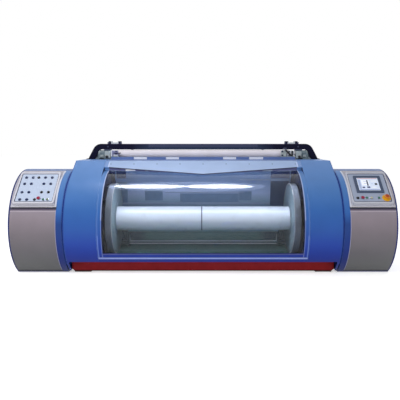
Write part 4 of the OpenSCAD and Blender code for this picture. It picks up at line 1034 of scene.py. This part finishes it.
    def rear_covers(self) -> None:
        """Two service covers on the back flat, each with two columns of louvres and six fasteners."""
        rows, corner = self.flat(self.back_slope)
        right, up, out = rows
        edge = [(0, -0.0008), (0, 0.0012), (0.0008, 0.002)]
        covers, louvres, screws = [], [], []
        for side in (-1, 1):
            middle = corner - (TOP_Z - self.cover_z) / up[2] * up + side * self.cover_x * RIGHT
            covers.append(plate(rows, middle, *self.cover_size, 0.012, edge, 6).of(BLUE_COAT))
            for column in self.louvre_columns:
                for k in range(-3, 4):
                    at = middle + column * right + k * self.louvre_pitch * up
                    louvres += self.pressed(rows, at + 0.0018 * out)
            for x, y in self.cover_screws:
                screws.append(self.fastener(middle + x * right + y * up + 0.002 * out, out))
        build("rear_covers", "frame", covers)
        build("rear_louvres", "frame", louvres)
        build("rear_cover_fasteners", "frame", screws)

    def pressed(self, rows: Array, at: Array) -> list[Shape]:
        """Pressed louvre with a dark plate in its mouth as painted shade of the slot under it: its depth
        goes as (1 - v)^0.5 (1 - u^8).

        Here u runs from -1 to 1 along the louvre and v from 0 at its mouth to 1 at its top.
        """
        half, tall, deep = self.louvre
        u, v = np.linspace(-1, 1, 13), np.linspace(0, 1, 5)
        high = deep * np.sqrt(1 - v)[:, None] * (1 - u[None, :] ** 8)
        flat = at + half * u[None, :, None] * rows[0] + tall * v[:, None, None] * rows[1]
        skin = flat + high[..., None] * rows[2]
        shell = np.concatenate([skin, (flat - 0.001 * rows[2])[:, ::-1]], axis=1)
        mouth = at + 0.0008 * rows[1] + 0.004 * rows[2]
        slot = plate(axes(-rows[1], rows[2]), mouth, 0.27, 0.0062, 0.0006, [(0, 0), (0, 0.0014)])
        return [grid(shell).of(BLUE_COAT), slot.of(SEAL_RUBBER)]

    def fastener(self, at: Array, axis: Array) -> Shape:
        """Quarter-turn fastener head with a dished face."""
        head = [(0.0, -0.001), (0.011, -0.001), (0.011, 0.0012), (0.0095, 0.0026), (0.006, 0.0026),
                (0.005, 0.0016), (0.0, 0.0016)]
        return lathe(head, at, axis, 20).of(ZINC)

    def cabinet_doors(self) -> None:
        """Curved service door on the upper back of each cabinet, a thin section carried round the drum."""
        half, bevelled = self.door_half, self.door_half - 0.0008
        section = np.array([
            [-half, -0.0006], [half, -0.0006], [half, 0.001], [bevelled, 0.0016], [-bevelled, 0.0016],
            [-half, 0.001]])
        start, end = self.door_span
        shapes, screws = [], []
        for x in (-self.door_x, self.door_x):
            shapes.append(drum_hoop(x, start, end, section, DRUM_R, 40).of(BLUE_COAT))
            for dx in (0.018 - half, half - 0.018):
                for a in (start + 2.5, (start + end) / 2, end - 2.5):
                    screws.append(self.fastener(on_drum(x + dx, a, DRUM_R + 0.0012), outwards(a)))
        build("cabinet_doors", "frame", shapes)
        build("cabinet_door_fasteners", "frame", screws)


@dataclass
class Visor:
    """Swinging visor: blue frame, clear pane and its seal."""

    wardrobe: Wardrobe
    sight: float = 1.045  # Half width of the sight opening
    sight_span: Pair = (-24.2, 84.0)  # Angles of its lower and upper edge
    pane_half: float = 1.0725  # Half width of the pane
    pane_span: Pair = (-26.7, 86.5)  # Angles of its lower and upper edge
    pane_out: float = 0.5977  # Outer radius of the pane
    pane_in: float = 0.5917  # Inner radius of the pane

    def build(self) -> None:
        """Dresses the frame and makes the visor's own pieces."""
        self.wardrobe.dress(VISOR_COAT, "visor_frame")
        self.pane()
        self.seal()

    def pane(self) -> None:
        """Bent sheet: a thin rectangle in X and radius carried round the drum."""
        x = np.linspace(-self.pane_half, self.pane_half, 13)
        outer = np.stack([x, np.full_like(x, (self.pane_out - self.pane_in) / 2)], axis=1)
        section = np.concatenate([outer, outer[::-1] * [1.0, -1.0]])
        shape = drum_hoop(0.0, *self.pane_span, section, (self.pane_out + self.pane_in) / 2, 160)
        build("bent_pane", "visor", [shape.of(CLEAR)], ["visor_pane"], crease=20.0)

    def seal(self) -> None:
        """Rubber bead between the pane and the frame, round the sight opening."""
        bead, foot = strip_section(0.0052, 0.0058, 0.0014), self.pane_out + 0.0001
        low, high = self.sight_span
        shapes = [drum_hoop(s * (self.sight - 0.0024), low, high, bead, foot) for s in (-1, 1)]
        shapes += [drum_rail(a, -self.sight, self.sight, bead, foot) for a in (low + 0.22, high - 0.22)]
        build("visor_seal", "visor", [shape.of(SEAL_RUBBER) for shape in shapes])


@dataclass
class WarpBeam:
    """Barrel, flanges and the spindles that hold them."""

    wardrobe: Wardrobe
    radius: float = 0.135  # Radius of the barrel
    half: float = 0.98  # Half its length
    joints: tuple[float, ...] = (-0.543, -0.0155, 0.441)  # Places of its ring joints, the middle one second
    # Half width of a joint's groove at its top and foot, and its depth
    groove: Triple = (0.0024, 0.0018, 0.0008)
    bolt_circle: float = 0.168  # Radius of the circle of bolts in a flange's collar
    bolts: int = 10  # Number of those bolts

    def build(self) -> None:
        """Dresses the beam's nodes and makes the barrel."""
        self.wardrobe.dress(FLANGE_METAL, "beam_flange_left", "beam_flange_right")
        self.wardrobe.dress(GROUND_STEEL, "drive_spindle", "tail_quill", "motor_pulley")
        self.barrel()
        self.collars()

    def barrel(self) -> None:
        """Tube turned with a shallow groove at each ring joint, the middle one with a dark ring in it."""
        r, half, centre = self.radius, self.half, (0.0, 0.0, BEAM_Z)
        top, foot, deep = self.groove
        profile = [(r - 0.009, -half), (r - 0.001, -half), (r, -half + 0.001)]
        for x in self.joints:
            profile += [(r, x - top), (r - deep, x - foot), (r - deep, x + foot), (r, x + top)]
        profile += [(r, half - 0.001), (r - 0.001, half), (r - 0.009, half)]
        tube = lathe(profile, centre, RIGHT, 128).of(BARREL_COAT)
        build("barrel_tube", "beam", [tube], ["beam_barrel"])
        x = self.joints[1]
        rise = [(-0.003, -0.0062), (0.0004, -0.0062), (0.0008, -0.0045), (0.0008, 0.0045), (0.0004, 0.0062),
                (-0.003, 0.0062)]
        ring = lathe([(r + dr, x + dx) for dr, dx in rise], centre, RIGHT, 96)
        build("barrel_middle_ring", "beam", [ring.of(DARK_SCREW)])

    def collars(self) -> None:
        """Ring and ten hexagon bolts that hold each flange to the barrel."""
        bore, rim = self.radius + 0.0005, 0.192
        ring = [(bore, -0.001), (rim, -0.001), (rim, 0.004), (rim - 0.002, 0.006), (bore + 0.0015, 0.006),
                (bore, 0.0045)]
        shapes = []
        for side in (-1, 1):
            face = np.array([side * self.half, 0.0, BEAM_Z])
            shapes.append(lathe(ring, face, -side * RIGHT, 64, hollow=True).of(FLANGE_METAL))
            for k in range(self.bolts):
                t = 2 * math.pi * (k + 0.5) / self.bolts
                at = face + self.bolt_circle * np.array([0.0, math.cos(t), math.sin(t)])
                shapes += hexagon(at, -side * RIGHT, 0.01, 0.006, 0.0125)
        build("beam_collars", "beam", shapes)


@dataclass
class TopGear:
    """Guide roller, its castings, crossbar, comb and the press roller."""

    wardrobe: Wardrobe
    bar_front: float = 0.427  # Depth of the crossbar's front
    bar_low: float = 1.309  # Height of its lower side
    guide: Pair = (0.43, 1.257)  # Depth and height of the guide roller's axis
    cast_in: float = 1.118  # Inner side of a casting from the middle plane
    cast_out: float = 1.296  # Its outer side
    cast_front: float = 0.358  # Depth of its front

    def build(self) -> None:
        """Dresses the nodes and adds the castings' fittings and the crossbar's."""
        for finish, node in ((ROLLER_STEEL, "guide_roller"), (PRESS_STEEL, "press_roller"),
                             (CAST_COAT, "roller_castings"), (BAR_COAT, "crossbar"),
                             (ARM_COAT, "press_arms"), (COMB_STEEL, "comb")):
            self.wardrobe.dress(finish, node)
        self.castings()
        self.bar_fittings()
        self.shifter()
        self.tension_bracket()

    def castings(self) -> None:
        """Bearing covers, foot bolts, machined pads, dark plates as painted shade of slots, and a clamping
        knob on each casting.
        """
        near, far, front = self.cast_in, self.cast_out, self.cast_front
        cover = [(0.026, -0.001), (0.0445, -0.001), (0.0445, 0.003), (0.0425, 0.005), (0.031, 0.005),
                 (0.026, 0.003)]
        knob = [(0, 0), (0.007, 0), (0.007, 0.01), (0.015, 0.012), (0.017, 0.016), (0.017, 0.024),
                (0.014, 0.029), (0, 0.03)]
        shapes = []
        for s in (-1, 1):
            for x, out in ((near + 0.008, -s), (far - 0.038, s)):
                shapes.append(lathe(cover, (s * x, *self.guide), out * RIGHT, 36, True).of(CAST_LIGHT))
            for x in (near + 0.012, far - 0.012):
                for depth in (front + 0.013, 0.485):
                    shapes += hexagon((s * x, depth, 1.2025), UP, 0.01, 0.008, 0.013)
            slot = (1.196, 1.25) if s < 0 else (1.146, 1.2)
            shapes += faces([
                (near + 0.001, near + 0.068, 1.2035, 1.288, front - 0.001, 0.008, 0.016, CAST_LIGHT),
                (*slot, 1.1925, 1.209, front - 0.01, 0.003, 0.004, BLACK_PLASTIC),
                (1.205, 1.25, 1.222, 1.2465, front + 0.03, 0.003, 0.008, CAST_LIGHT),
                (1.25, 1.318, 1.2015, 1.262, 0.462, 0.008, 0.004, CAST_COAT),
                (1.25, 1.29, 1.258, 1.305, 0.462, 0.008, 0.004, CAST_COAT)], s)
            at = (s * (near + 0.04), front - 0.0085, 1.222)
            shapes.append(lathe(knob, at, FRONT, 24).of(BLACK_PLASTIC))
            shapes += faces([(1.112, 1.205, 1.284, self.bar_low + 0.004, self.bar_front + 0.004, 0.022,
                              0.003, DARK_SCREW)], s)
        build("casting_fittings", "frame", shapes)

    def bar_fittings(self) -> None:
        """Small dark rod hangers under the crossbar, hexagon bolts on its front, bolts in its feet."""
        y = self.bar_front
        shapes = faces((x - 0.013, x + 0.013, 1.29, 1.311, y + 0.012, 0.014, 0.003, BAR_COAT)
                       for x in (-0.864, 0.727))
        for x in (-1.16, -0.62, 0.0, 0.62, 1.16):
            shapes += hexagon((x, y + 0.0003, 1.3435), FRONT, 0.008, 0.005, 0.011, DARK_SCREW)
        shapes += faces((x - 0.012, x + 0.012, 1.3785, 1.3985, y - 0.006, 0.01, 0.003, DARK_SCREW)
                        for x in (-1.00, -1.15, 1.00, 1.15))
        build("crossbar_fittings", "frame", shapes)

    def shifter(self) -> None:
        """Comb shifting lever at the right end: a flat rod from the bar down to its machined brackets."""
        top, low = np.array([0.99, 0.3385, 1.308]), np.array([1.06, 0.3385, 1.233])
        step = (low - top) / np.linalg.norm(low - top)
        path = top + np.linspace(0, 1, 9)[:, None] * (low - top)
        rod = sweep(rounded_loop(0.02, 0.008, 0.003, 4), path, np.cross(step, FRONT), FRONT)
        shapes = [rod.of(BLACK_PLASTIC)] + faces([
            (0.972, 1.006, 1.3095, 1.33, self.bar_front + 0.002, 0.096, 0.003, DARK_SCREW),
            (0.938, 1.004, 1.2225, 1.3, 0.3535, 0.005, 0.01, CAST_LIGHT),
            (1.018, 1.095, 1.2225, 1.3, 0.352, 0.008, 0.014, PALE_STEEL),
            (1.062, 1.082, 1.226, 1.296, 0.3435, 0.006, 0.005, BLACK_PLASTIC),
            (0.932, 1.1, 1.2215, 1.229, 0.3535, 0.034, 0.003, CAST_COAT)])
        for x, z in ((0.955, 1.286), (0.955, 1.24), (1.036, 1.24), (1.036, 1.286)):
            shapes += hexagon((x, 0.3455, z), FRONT, 0.008, 0.005, 0.011, DARK_SCREW)
        build("comb_shift_lever", "frame", shapes)

    def tension_bracket(self) -> None:
        """Machined bracket at the left end, a white strip on its edge as a painted highlight, an adjusting
        block and two screws.
        """
        y = 0.3485
        shapes = faces([
            (-1.108, -1.022, 1.2225, 1.3, y + 0.005, 0.005, 0.008, LILAC_PLATE),
            (-1.11, -1.098, 1.2225, 1.302, y, 0.006, 0.003, WHITE_PLATE),
            (-1.078, -1.028, 1.226, 1.246, y, 0.01, 0.006, PALE_STEEL),
            (-1.08, -0.99, 1.262, 1.272, y, 0.006, 0.003, BAR_COAT),
            (-1.112, -1.01, 1.2215, 1.229, y + 0.005, 0.034, 0.003, CAST_COAT)])
        for z in (1.29, 1.256):
            shapes += hexagon((-1.048, y, z), FRONT, 0.007, 0.005, 0.01, DARK_SCREW)
        build("tension_bracket", "frame", shapes)


@dataclass
class Interior:
    """Liners, covers, rails and floor inside the bay between the bulkheads."""

    half: float = 1.096  # Half width of the liner and of the floor
    top: Pair = (0.508, 1.183)  # Depth and height of the liner's upper edge
    foot_a: float = 174.0  # Angle where the liner's flat meets the drum
    radius: float = 0.592  # Radius of the liner below that
    foot_end: float = 214.0  # Angle where the liner ends
    floor_at: Triple = (0.0, 0.03, 0.1402)  # Middle of the floor sheet's underside
    floor_deep: float = 0.84  # Its size from front to back
    # Left, right, lower and upper ends of the covers and rails, each with its finish; their tones are
    # painted shade and reflections
    plates: tuple[tuple[float, float, float, float, Finish], ...] = (
        (-1.078, -0.948, 0.6, 0.905, LINER_DARK), (-0.73, -0.506, 0.667, 0.795, LINER_DARK),
        (-0.288, 0.448, 0.645, 0.758, LINER_DARK), (0.452, 0.609, 0.668, 0.785, LINER_DARK),
        (0.844, 1.078, 0.6, 0.918, LINER_BLACK), (0.844, 1.078, 0.95, 1.075, LINER_SHADE),
        (-1.078, -0.96, 0.95, 1.075, LINER_SHADE), (-0.475, 0.522, 0.768, 0.78, LINER_RAIL),
        (0.459, 1.078, 0.927, 0.938, LINER_RAIL), (-1.078, 0.84, 0.618, 0.64, LINER_RAIL))

    def build(self) -> None:
        """Makes the back liner with its covers, and the floor."""
        self.back()
        self.covers()
        self.floor()

    def back(self) -> None:
        """Liner: a thin section swept down the back, straight above and on the drum below."""
        low = on_drum(0.0, np.linspace(self.foot_a, self.foot_end, 30), self.radius)[:, 1:]
        line = np.concatenate([np.linspace(np.array(self.top), low[0], 8)[:-1], low])
        path = np.column_stack([np.zeros(len(line)), line])
        step = np.gradient(path, axis=0)
        step /= np.linalg.norm(step, axis=1)[:, None]
        x, t = self.half, 0.001
        shape = sweep(np.array([[-x, -t], [x, -t], [x, t], [-x, t]]), path, RIGHT, np.cross(RIGHT, step))
        build("back_liner", "frame", [shape.of(LINER_COAT)])

    def covers(self) -> None:
        """Cover plates and rails on the liner's flat: each is a rounded rectangle at a height on it."""
        low = on_drum(0.0, self.foot_a, self.radius)[1:]
        lean = (low[0] - self.top[0]) / (self.top[1] - low[1])
        rows = axes((0.0, -1.0, -lean), UP)
        rivet, inset = [(0.004, -0.001), (0.004, 0.001), (0.002, 0.002), (0, 0.002)], 0.012

        def on_flat(x: float, z: float) -> Array:
            """The flat's point at a place along the beam and a height."""
            return np.array([x, self.top[0] + (self.top[1] - z) * lean, z])

        shapes = []
        for x0, x1, z0, z1, finish in self.plates:
            thick = 0.003 if finish in COVER_PAINTS else 0.006
            edge = [(0, 0.0005), (0, thick), (0.001, thick + 0.001)]
            middle = on_flat((x0 + x1) / 2, (z0 + z1) / 2)
            shapes.append(plate(rows, middle, x1 - x0, z1 - z0, 0.004, edge, 3).of(finish))
            if finish not in COVER_PAINTS:
                continue
            for x in (x0 + inset, x1 - inset):
                for z in (z0 + inset, z1 - inset):
                    shapes.append(lathe(rivet, on_flat(x, z) + 0.004 * rows[2], rows[2], 8).of(ZINC))
        build("liner_covers", "frame", shapes)

    def floor(self) -> None:
        """Floor sheet on the base frame."""
        edge = [(0, 0), (0, 0.003), (0.001, 0.004)]
        shape = plate(axes(UP, -FRONT), self.floor_at, 2 * self.half, self.floor_deep, 0.004, edge)
        build("floor_sheet", "frame", [shape.of(FLOOR_COAT)])


@dataclass
class Controls:
    """Rings, caps, selectors, screen and emergency stop on the two consoles, in millimetres."""

    wardrobe: Wardrobe
    left_rows: tuple[float, ...] = (138, 50, -67, -166)  # Heights of the left plate's four rows of controls
    left_cols: tuple[float, ...] = (-144, -72, 60, 132)  # Places of its four columns
    right_row: float = -144  # Height of the right plate's row
    right_knob: float = -147  # Place of the selector in it
    stop_x: float = 149  # Place of the emergency stop in it
    screen_at: Pair = (2, 42)  # Middle of the screen
    # Plane of each console's plate, by side
    frames: dict[int, PlateFrame] = field(default_factory=lambda: {s: PlateFrame(s) for s in (-1, 1)})

    def left_buttons(self) -> list[Pair]:
        """Places of the twelve blue buttons on the left plate: two full rows and two half ones."""
        r, c = self.left_rows, self.left_cols
        return [(x, y) for y, row in zip(r, (c, c, c[:2], c[:2])) for x in row]

    def left_selectors(self) -> list[Pair]:
        """Places of the four selectors on the left plate."""
        r, c = self.left_rows, self.left_cols
        return [(-12, r[0]), (c[2], r[2]), (c[3], r[2]), (8, r[3])]

    def build(self) -> None:
        """Makes every control."""
        for finish, node in ((TRAY_LEFT, "console_left"), (TRAY_RIGHT, "console_right"),
                             (BEZEL_PLASTIC, "touch_screen")):
            self.wardrobe.dress(finish, node)
        low, row = self.left_rows[3], self.right_row
        blue, knobs, knob = self.left_buttons(), self.left_selectors(), (self.right_knob, row)
        left = [("stop", (46, low + 15), RED_CAP), ("start", (100, low), GREEN_CAP),
                ("ready", (143, low), OLIVE_CAP)]
        right = [("stop", (-97, row), RED_CAP), ("start", (-55, row), GREEN_CAP),
                 ("ready", (-5, row), CREAM_CAP), ("reset", (71, row), GREEN_CAP)]
        for i, at in enumerate(blue):
            self.cap(-1, f"left_button_{i + 1}", at, BLUE_CAP)
        for side, word, caps in ((-1, "left", left), (1, "right", right)):
            for kind, at, finish in caps:
                self.cap(side, f"{word}_{kind}_button", at, finish)
        for i, at in enumerate(knobs):
            self.selector(-1, f"left_selector_{i + 1}", at)
        self.selector(1, "right_selector", knob)
        self.rings("left_blue_collars", -1, blue, NAVY_PLASTIC)
        self.rings("left_collars", -1, [at for _, at, _ in left], ZINC)
        self.rings("left_selector_collars", -1, knobs, BLACK_PLASTIC)
        self.rings("right_collars", 1, [at for _, at, _ in right], ZINC)
        self.rings("right_selector_collar", 1, [knob], BLACK_PLASTIC)
        self.stop((self.stop_x, row))
        self.screen()

    def turned(self, side: int, at: Pair, profile: Outline, finish: Finish, steps: int = 32,
               hollow: bool = False) -> Shape:
        """A profile in millimetres turned about a control's axis."""
        frame = self.frames[side]
        scaled = [(r * MM, h * MM) for r, h in profile]
        return lathe(scaled, frame.at(*at, 0), frame.rows()[2], steps, hollow).of(finish)

    def cap(self, side: int, node: str, at: Pair, finish: Finish) -> None:
        """Push cap with a rounded edge and a dished face; the stop caps spread over their ring."""
        body = [(0, 4.6), (10.9, 4.6), (10.9, 9.6), (10.6, 10.5), (9.8, 11.0), (8.4, 10.9), (4, 10.4),
                (0, 10.3)]
        if finish is RED_CAP:
            body = [(0, 4.6), (9.5, 4.6), (10.5, 10.2), (17.5, 10.4), (18.6, 11.2), (18.6, 12.8),
                    (17.4, 14.2), (12, 15.1), (0, 15.6)]
        build(f"{node}_cap", node, [self.turned(side, at, body, finish)], replaces=[node])

    def selector(self, side: int, node: str, at: Pair) -> None:
        """Round knob with a tapered grip across it and a white pointer line."""
        frame, (x, y) = self.frames[side], at
        rows = frame.rows()
        base = [(0, 1.2), (10.9, 1.2), (10.9, 7.2), (10.2, 8.2), (0, 8.3)]
        taper, line = [(0, 0), (0, 0.005), (0.0008, 0.0085), (0.0018, 0.0099)], [(0, 0), (0, 0.0004)]
        build(f"{node}_knob", node, [
            self.turned(side, at, base, BLACK_PLASTIC),
            plate(rows, frame.at(x, y, 8), 0.0072, 0.0206, 0.003, taper, 5).of(BLACK_PLASTIC),
            plate(rows, frame.at(x, y + 4.5, 17.8), 0.0014, 0.009, 0.0004, line).of(WHITE_PLATE),
        ], [node])

    def rings(self, name: str, side: int, places: Sequence[Pair], finish: Finish) -> None:
        """Collars round the controls, one closed profile turned round each axis."""
        ring = [(11.3, 0.1), (11.3, 4.6), (11.6, 5.2), (12.2, 5.7), (13.8, 5.7), (15.1, 5.0), (15.7, 3.6),
                (15.7, 0.0)]
        build(name, "frame", [self.turned(side, at, ring, finish, hollow=True) for at in places])

    def stop(self, at: Pair) -> None:
        """Emergency stop: mushroom head on its stem, over a yellow plate and collar."""
        rim = [(0, 0.5), (7.8, 0.5), (7.8, 19.5), (24, 20), (27.4, 22), (28.2, 25), (28, 29), (26.6, 32.6),
               (23.6, 35.4), (20.5, 36.4), (0, 36.4)]
        crown = [(0, 36.0), (20.0, 36.0), (20.0, 36.6), (17, 37.3), (8, 38.0), (0, 38.1)]
        head = [self.turned(1, at, rim, STOP_RIM, 48), self.turned(1, at, crown, STOP_RED, 48)]
        build("emergency_stop_head", "emergency_stop", head, ["emergency_stop"])
        disc = [(9.4, 0.2), (43.5, 0.2), (43.8, 0.8), (43.8, 2.6), (43.0, 3.4), (19, 3.5), (18.6, 4.2),
                (18.6, 11.6), (17.8, 12.3), (9.4, 12.35)]
        build("emergency_stop_plate", "frame", [self.turned(1, at, disc, STOP_YELLOW, 48, True)])

    def screen(self) -> None:
        """Lit display with plain blocks of a generic page."""
        frame = self.frames[1]
        rows, (x, y) = frame.rows(), self.screen_at
        edge = [(0, 0), (0, 0.0008), (0.0004, 0.001)]
        glass = plate(rows, frame.at(x, y, 6.0), 0.222, 0.174, 0.002, edge, 3)
        shapes = [glass.of(lit("lit_display", "c6d0e4", 0.35))]
        # Middle, width and height of each block on the display, and its colour
        blocks = [(0, 78, 208, 10, "b3909a"), (-92, 0, 26, 128, "9aa8c8"), (-30, 20, 78, 74, "e6eaf4"),
                  (-8, 16, 15, 78, "343c52"), (-30, 38, 40, 5, "8f9ab4"), (-30, 10, 34, 5, "8f9ab4"),
                  (62, 40, 56, 24, "d5dcea"), (80, 0, 26, 24, "1f2430"), (40, 4, 26, 16, "bcc8de"),
                  (-58, -46, 26, 18, "232c60"), (-6, -44, 32, 20, "232c60"), (54, -44, 44, 18, "dde2ee"),
                  (0, -76, 208, 12, "8f9cc0")]
        for k, (bx, by, w, h, code) in enumerate(blocks):
            at = frame.at(x + bx, y + by, 6.9 + 0.05 * k)
            block = plate(rows, at, w * MM, h * MM, 0.001, [(0, 0), (0, 0.0002)])
            shapes.append(block.of(lit(f"display_tile_{code}", code)))
        build("display_glass", "frame", shapes)


class LampShape(Enum):
    """Outline of a lamp's lit face."""

    PANEL = "RECTANGLE"
    LENS = "ELLIPSE"


@dataclass
class Studio:
    """Camera, lamps, floor and backdrop; none of it is part of the object."""

    eye: Triple = (0.0, -5.541, 1.394)  # Place of the camera
    pitch: float = 5.0  # How far it looks down, in degrees
    lens: float = 43.92  # Its focal length in millimetres, on a sensor 36 mm wide
    shift: Pair = (-0.00775, -0.037)  # How far its view is shifted, in widths
    ambient: float = 0.52  # Strength of the even light from all round
    floor_half: float = 40.0  # Half width of the floor
    floor_glow: float = 0.56  # Share of its own light by which the floor meets the surround
    pane: float = 0.5977  # Radius of the pane in which lamps are mirrored
    roof_angle: float = 47.6  # Angle on the drum where they show in it

    def build(self) -> None:
        """Makes the whole studio."""
        self.camera()
        self.world()
        self.ground()
        self.lamps()
        bpy.context.scene.view_settings.view_transform = "Standard"

    def camera(self) -> None:
        """Camera in front of the machine, above its middle, pitched slightly down."""
        data = bpy.data.cameras.new("camera")
        data.lens, data.sensor_width, data.clip_end = self.lens, 36.0, 200.0
        data.shift_x, data.shift_y = self.shift
        camera = put_in_scene("camera", data)
        camera.location = self.eye
        camera.rotation_euler = (math.radians(90 - self.pitch), 0.0, 0.0)
        bpy.context.scene.camera = camera

    def seen(self, bench: Bench) -> Socket:
        """1 for the eye's own ray and for what gloss and glass show of the studio."""
        ray = {k: bench.add("LightPath", out=f"Is {k} Ray") for k in ("Camera", "Transmission", "Glossy")}
        straight = bench.math("MAXIMUM", ray["Camera"], ray["Transmission"])
        return bench.math("MAXIMUM", straight, ray["Glossy"])

    def world(self) -> None:
        """Even studio light from all round; a white surround for the eye, for gloss and for glass."""
        world = bpy.data.worlds.new("studio")
        bpy.context.scene.world = world
        bench = Bench(world)
        level = bench.fit(self.seen(bench), 0.0, 1.0, (self.ambient, 1.0))
        bench.show(bench.add("Background", {"Color": (1.0, 1.0, 1.0, 1.0), "Strength": level}), "World")

    def ground(self) -> None:
        """White floor that keeps the machine's shadow; for the eye it glows to meet the white surround."""
        mesh = bpy.data.meshes.new("studio_floor")
        far = self.floor_half
        corners = [(-far, -far, 0), (far, -far, 0), (far, far, 0), (-far, far, 0)]
        mesh.from_pydata(corners, [], [(0, 1, 2, 3)])
        floor = put_in_scene("studio_floor", mesh)
        paint = bpy.data.materials.new("studio_floor_paint")
        bench = Bench(paint)
        bench.show(bench.add("BsdfPrincipled", {
            "Base Color": linear("f4f4f4"), "Roughness": 0.9, "Specular IOR Level": 0.0,
            "Emission Color": (1.0, 1.0, 1.0, 1.0),
            "Emission Strength": bench.math("MULTIPLY", self.seen(bench), self.floor_glow)}))
        mesh.materials.append(paint)

    def lamp(self, name: str, at: Point, towards: Point, size: Pair, watts: float,
             colour: str = "ffffff", diffuse: bool = True, gloss: bool = True,
             shape: LampShape = LampShape.PANEL) -> None:
        """Adds one flat lamp.

        Args:
            name: Name of the lamp.
            at: Its place.
            towards: The point that it faces.
            size: Its width along X and its height.
            watts: Its power.
            colour: sRGB hex of its light.
            diffuse: Lights surfaces evenly.
            gloss: Shows in glossy surfaces.
            shape: Outline of its lit face.
        """
        data = bpy.data.lights.new(name, "AREA")
        data.shape, data.size, data.size_y = shape.value, size[0], size[1]
        data.energy, data.color = watts, linear(colour)[:3]
        lamp = put_in_scene(name, data)
        matrix = np.eye(4)
        matrix[:3, :3] = axes(np.array(at, float) - np.array(towards, float), UP).T
        matrix[:3, 3] = at
        lamp.matrix_world = Matrix(matrix.tolist())
        lamp.visible_camera = False
        lamp.visible_diffuse = diffuse
        lamp.visible_glossy = lamp.visible_transmission = gloss

    def mirrored(self, distance: float, x0: float, x1: float) -> tuple[Array, Array, float]:
        """Where a lamp lies that the eye sees mirrored in the pane, high up on its curve.

        The ray from the eye is d, the pane's normal n, and the lamp lies along d - 2 (d . n) n. The pane is
        straight along X, so a stretch from x0 to x1 on it mirrors one that is (e + distance) / e as wide.

        Args:
            distance: Distance from the pane to the lamp.
            x0: Left end of the reflection on the pane.
            x1: Right end of the reflection on the pane.

        Returns:
            The lamp's place, the point that it faces, and its width.
        """
        point, n = on_drum(0.0, self.roof_angle, self.pane), outwards(self.roof_angle)
        d = point - np.array(self.eye)
        reach = float(np.linalg.norm(d))
        d /= reach
        grow = (reach + distance) / reach
        shift = (x0 + x1) / 2 * grow * RIGHT
        return point + distance * (d - 2 * (d @ n) * n) + shift, point + shift, (x1 - x0) * grow

    def roof(self, name: str, distance: float, span: Pair, wide: float, high: float, watts: float,
             colour: str = "ffffff") -> None:
        """Roof light that shows in the pane only."""
        at, point, width = self.mirrored(distance, *span)
        self.lamp(name, at, point, (width * wide, high), watts, colour, diffuse=False, shape=LampShape.LENS)

    def lamps(self) -> None:
        """Soft key from the front left, fills from behind and low down, a strip in the bay, roof lights."""
        self.lamp("key", (-3.0, -3.7, 4.3), (-0.3, 0.0, 0.6), (3.4, 2.4), 158.0, gloss=False)
        self.lamp("back_fill", (1.6, 4.6, 3.4), (0.0, 0.3, 0.7), (3.0, 2.0), 70.0, gloss=False)
        self.lamp("low_fill", (3.6, -3.0, 0.5), (1.7, -0.4, 0.3), (1.2, 0.8), 16.0, gloss=False)
        self.lamp("bay_front", (0.0, -0.2, 1.03), (0.0, 0.02, 0.53), (2.0, 0.1), 5.9, "eef3ff")
        for k, span in enumerate(((-0.935, -0.196), (-0.18, 0.515))):
            self.roof(f"roof_light_{k}_0", 2.5, span, 0.97, 0.3, 54.0)
            self.roof(f"roof_light_{k}_1", 2.52, span, 1.03, 0.66, 44.0)
        self.roof("roof_glow", 2.7, (-1.02, 0.66), 1.0, 1.5, 42.0, "d3e0ff")


def main() -> None:
    """Builds the sub-assemblies in order, then the studio."""
    logging.basicConfig(level=logging.INFO, format="%(name)s: %(message)s")
    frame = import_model()
    wardrobe = Wardrobe(frame["nodes"])
    for part in (Casing(wardrobe), Visor(wardrobe), WarpBeam(wardrobe), TopGear(wardrobe), Interior(),
                 Controls(wardrobe), Studio()):
        LOG.info("building %s", type(part).__name__)
        part.build()


if __name__ == "__main__":
    main()
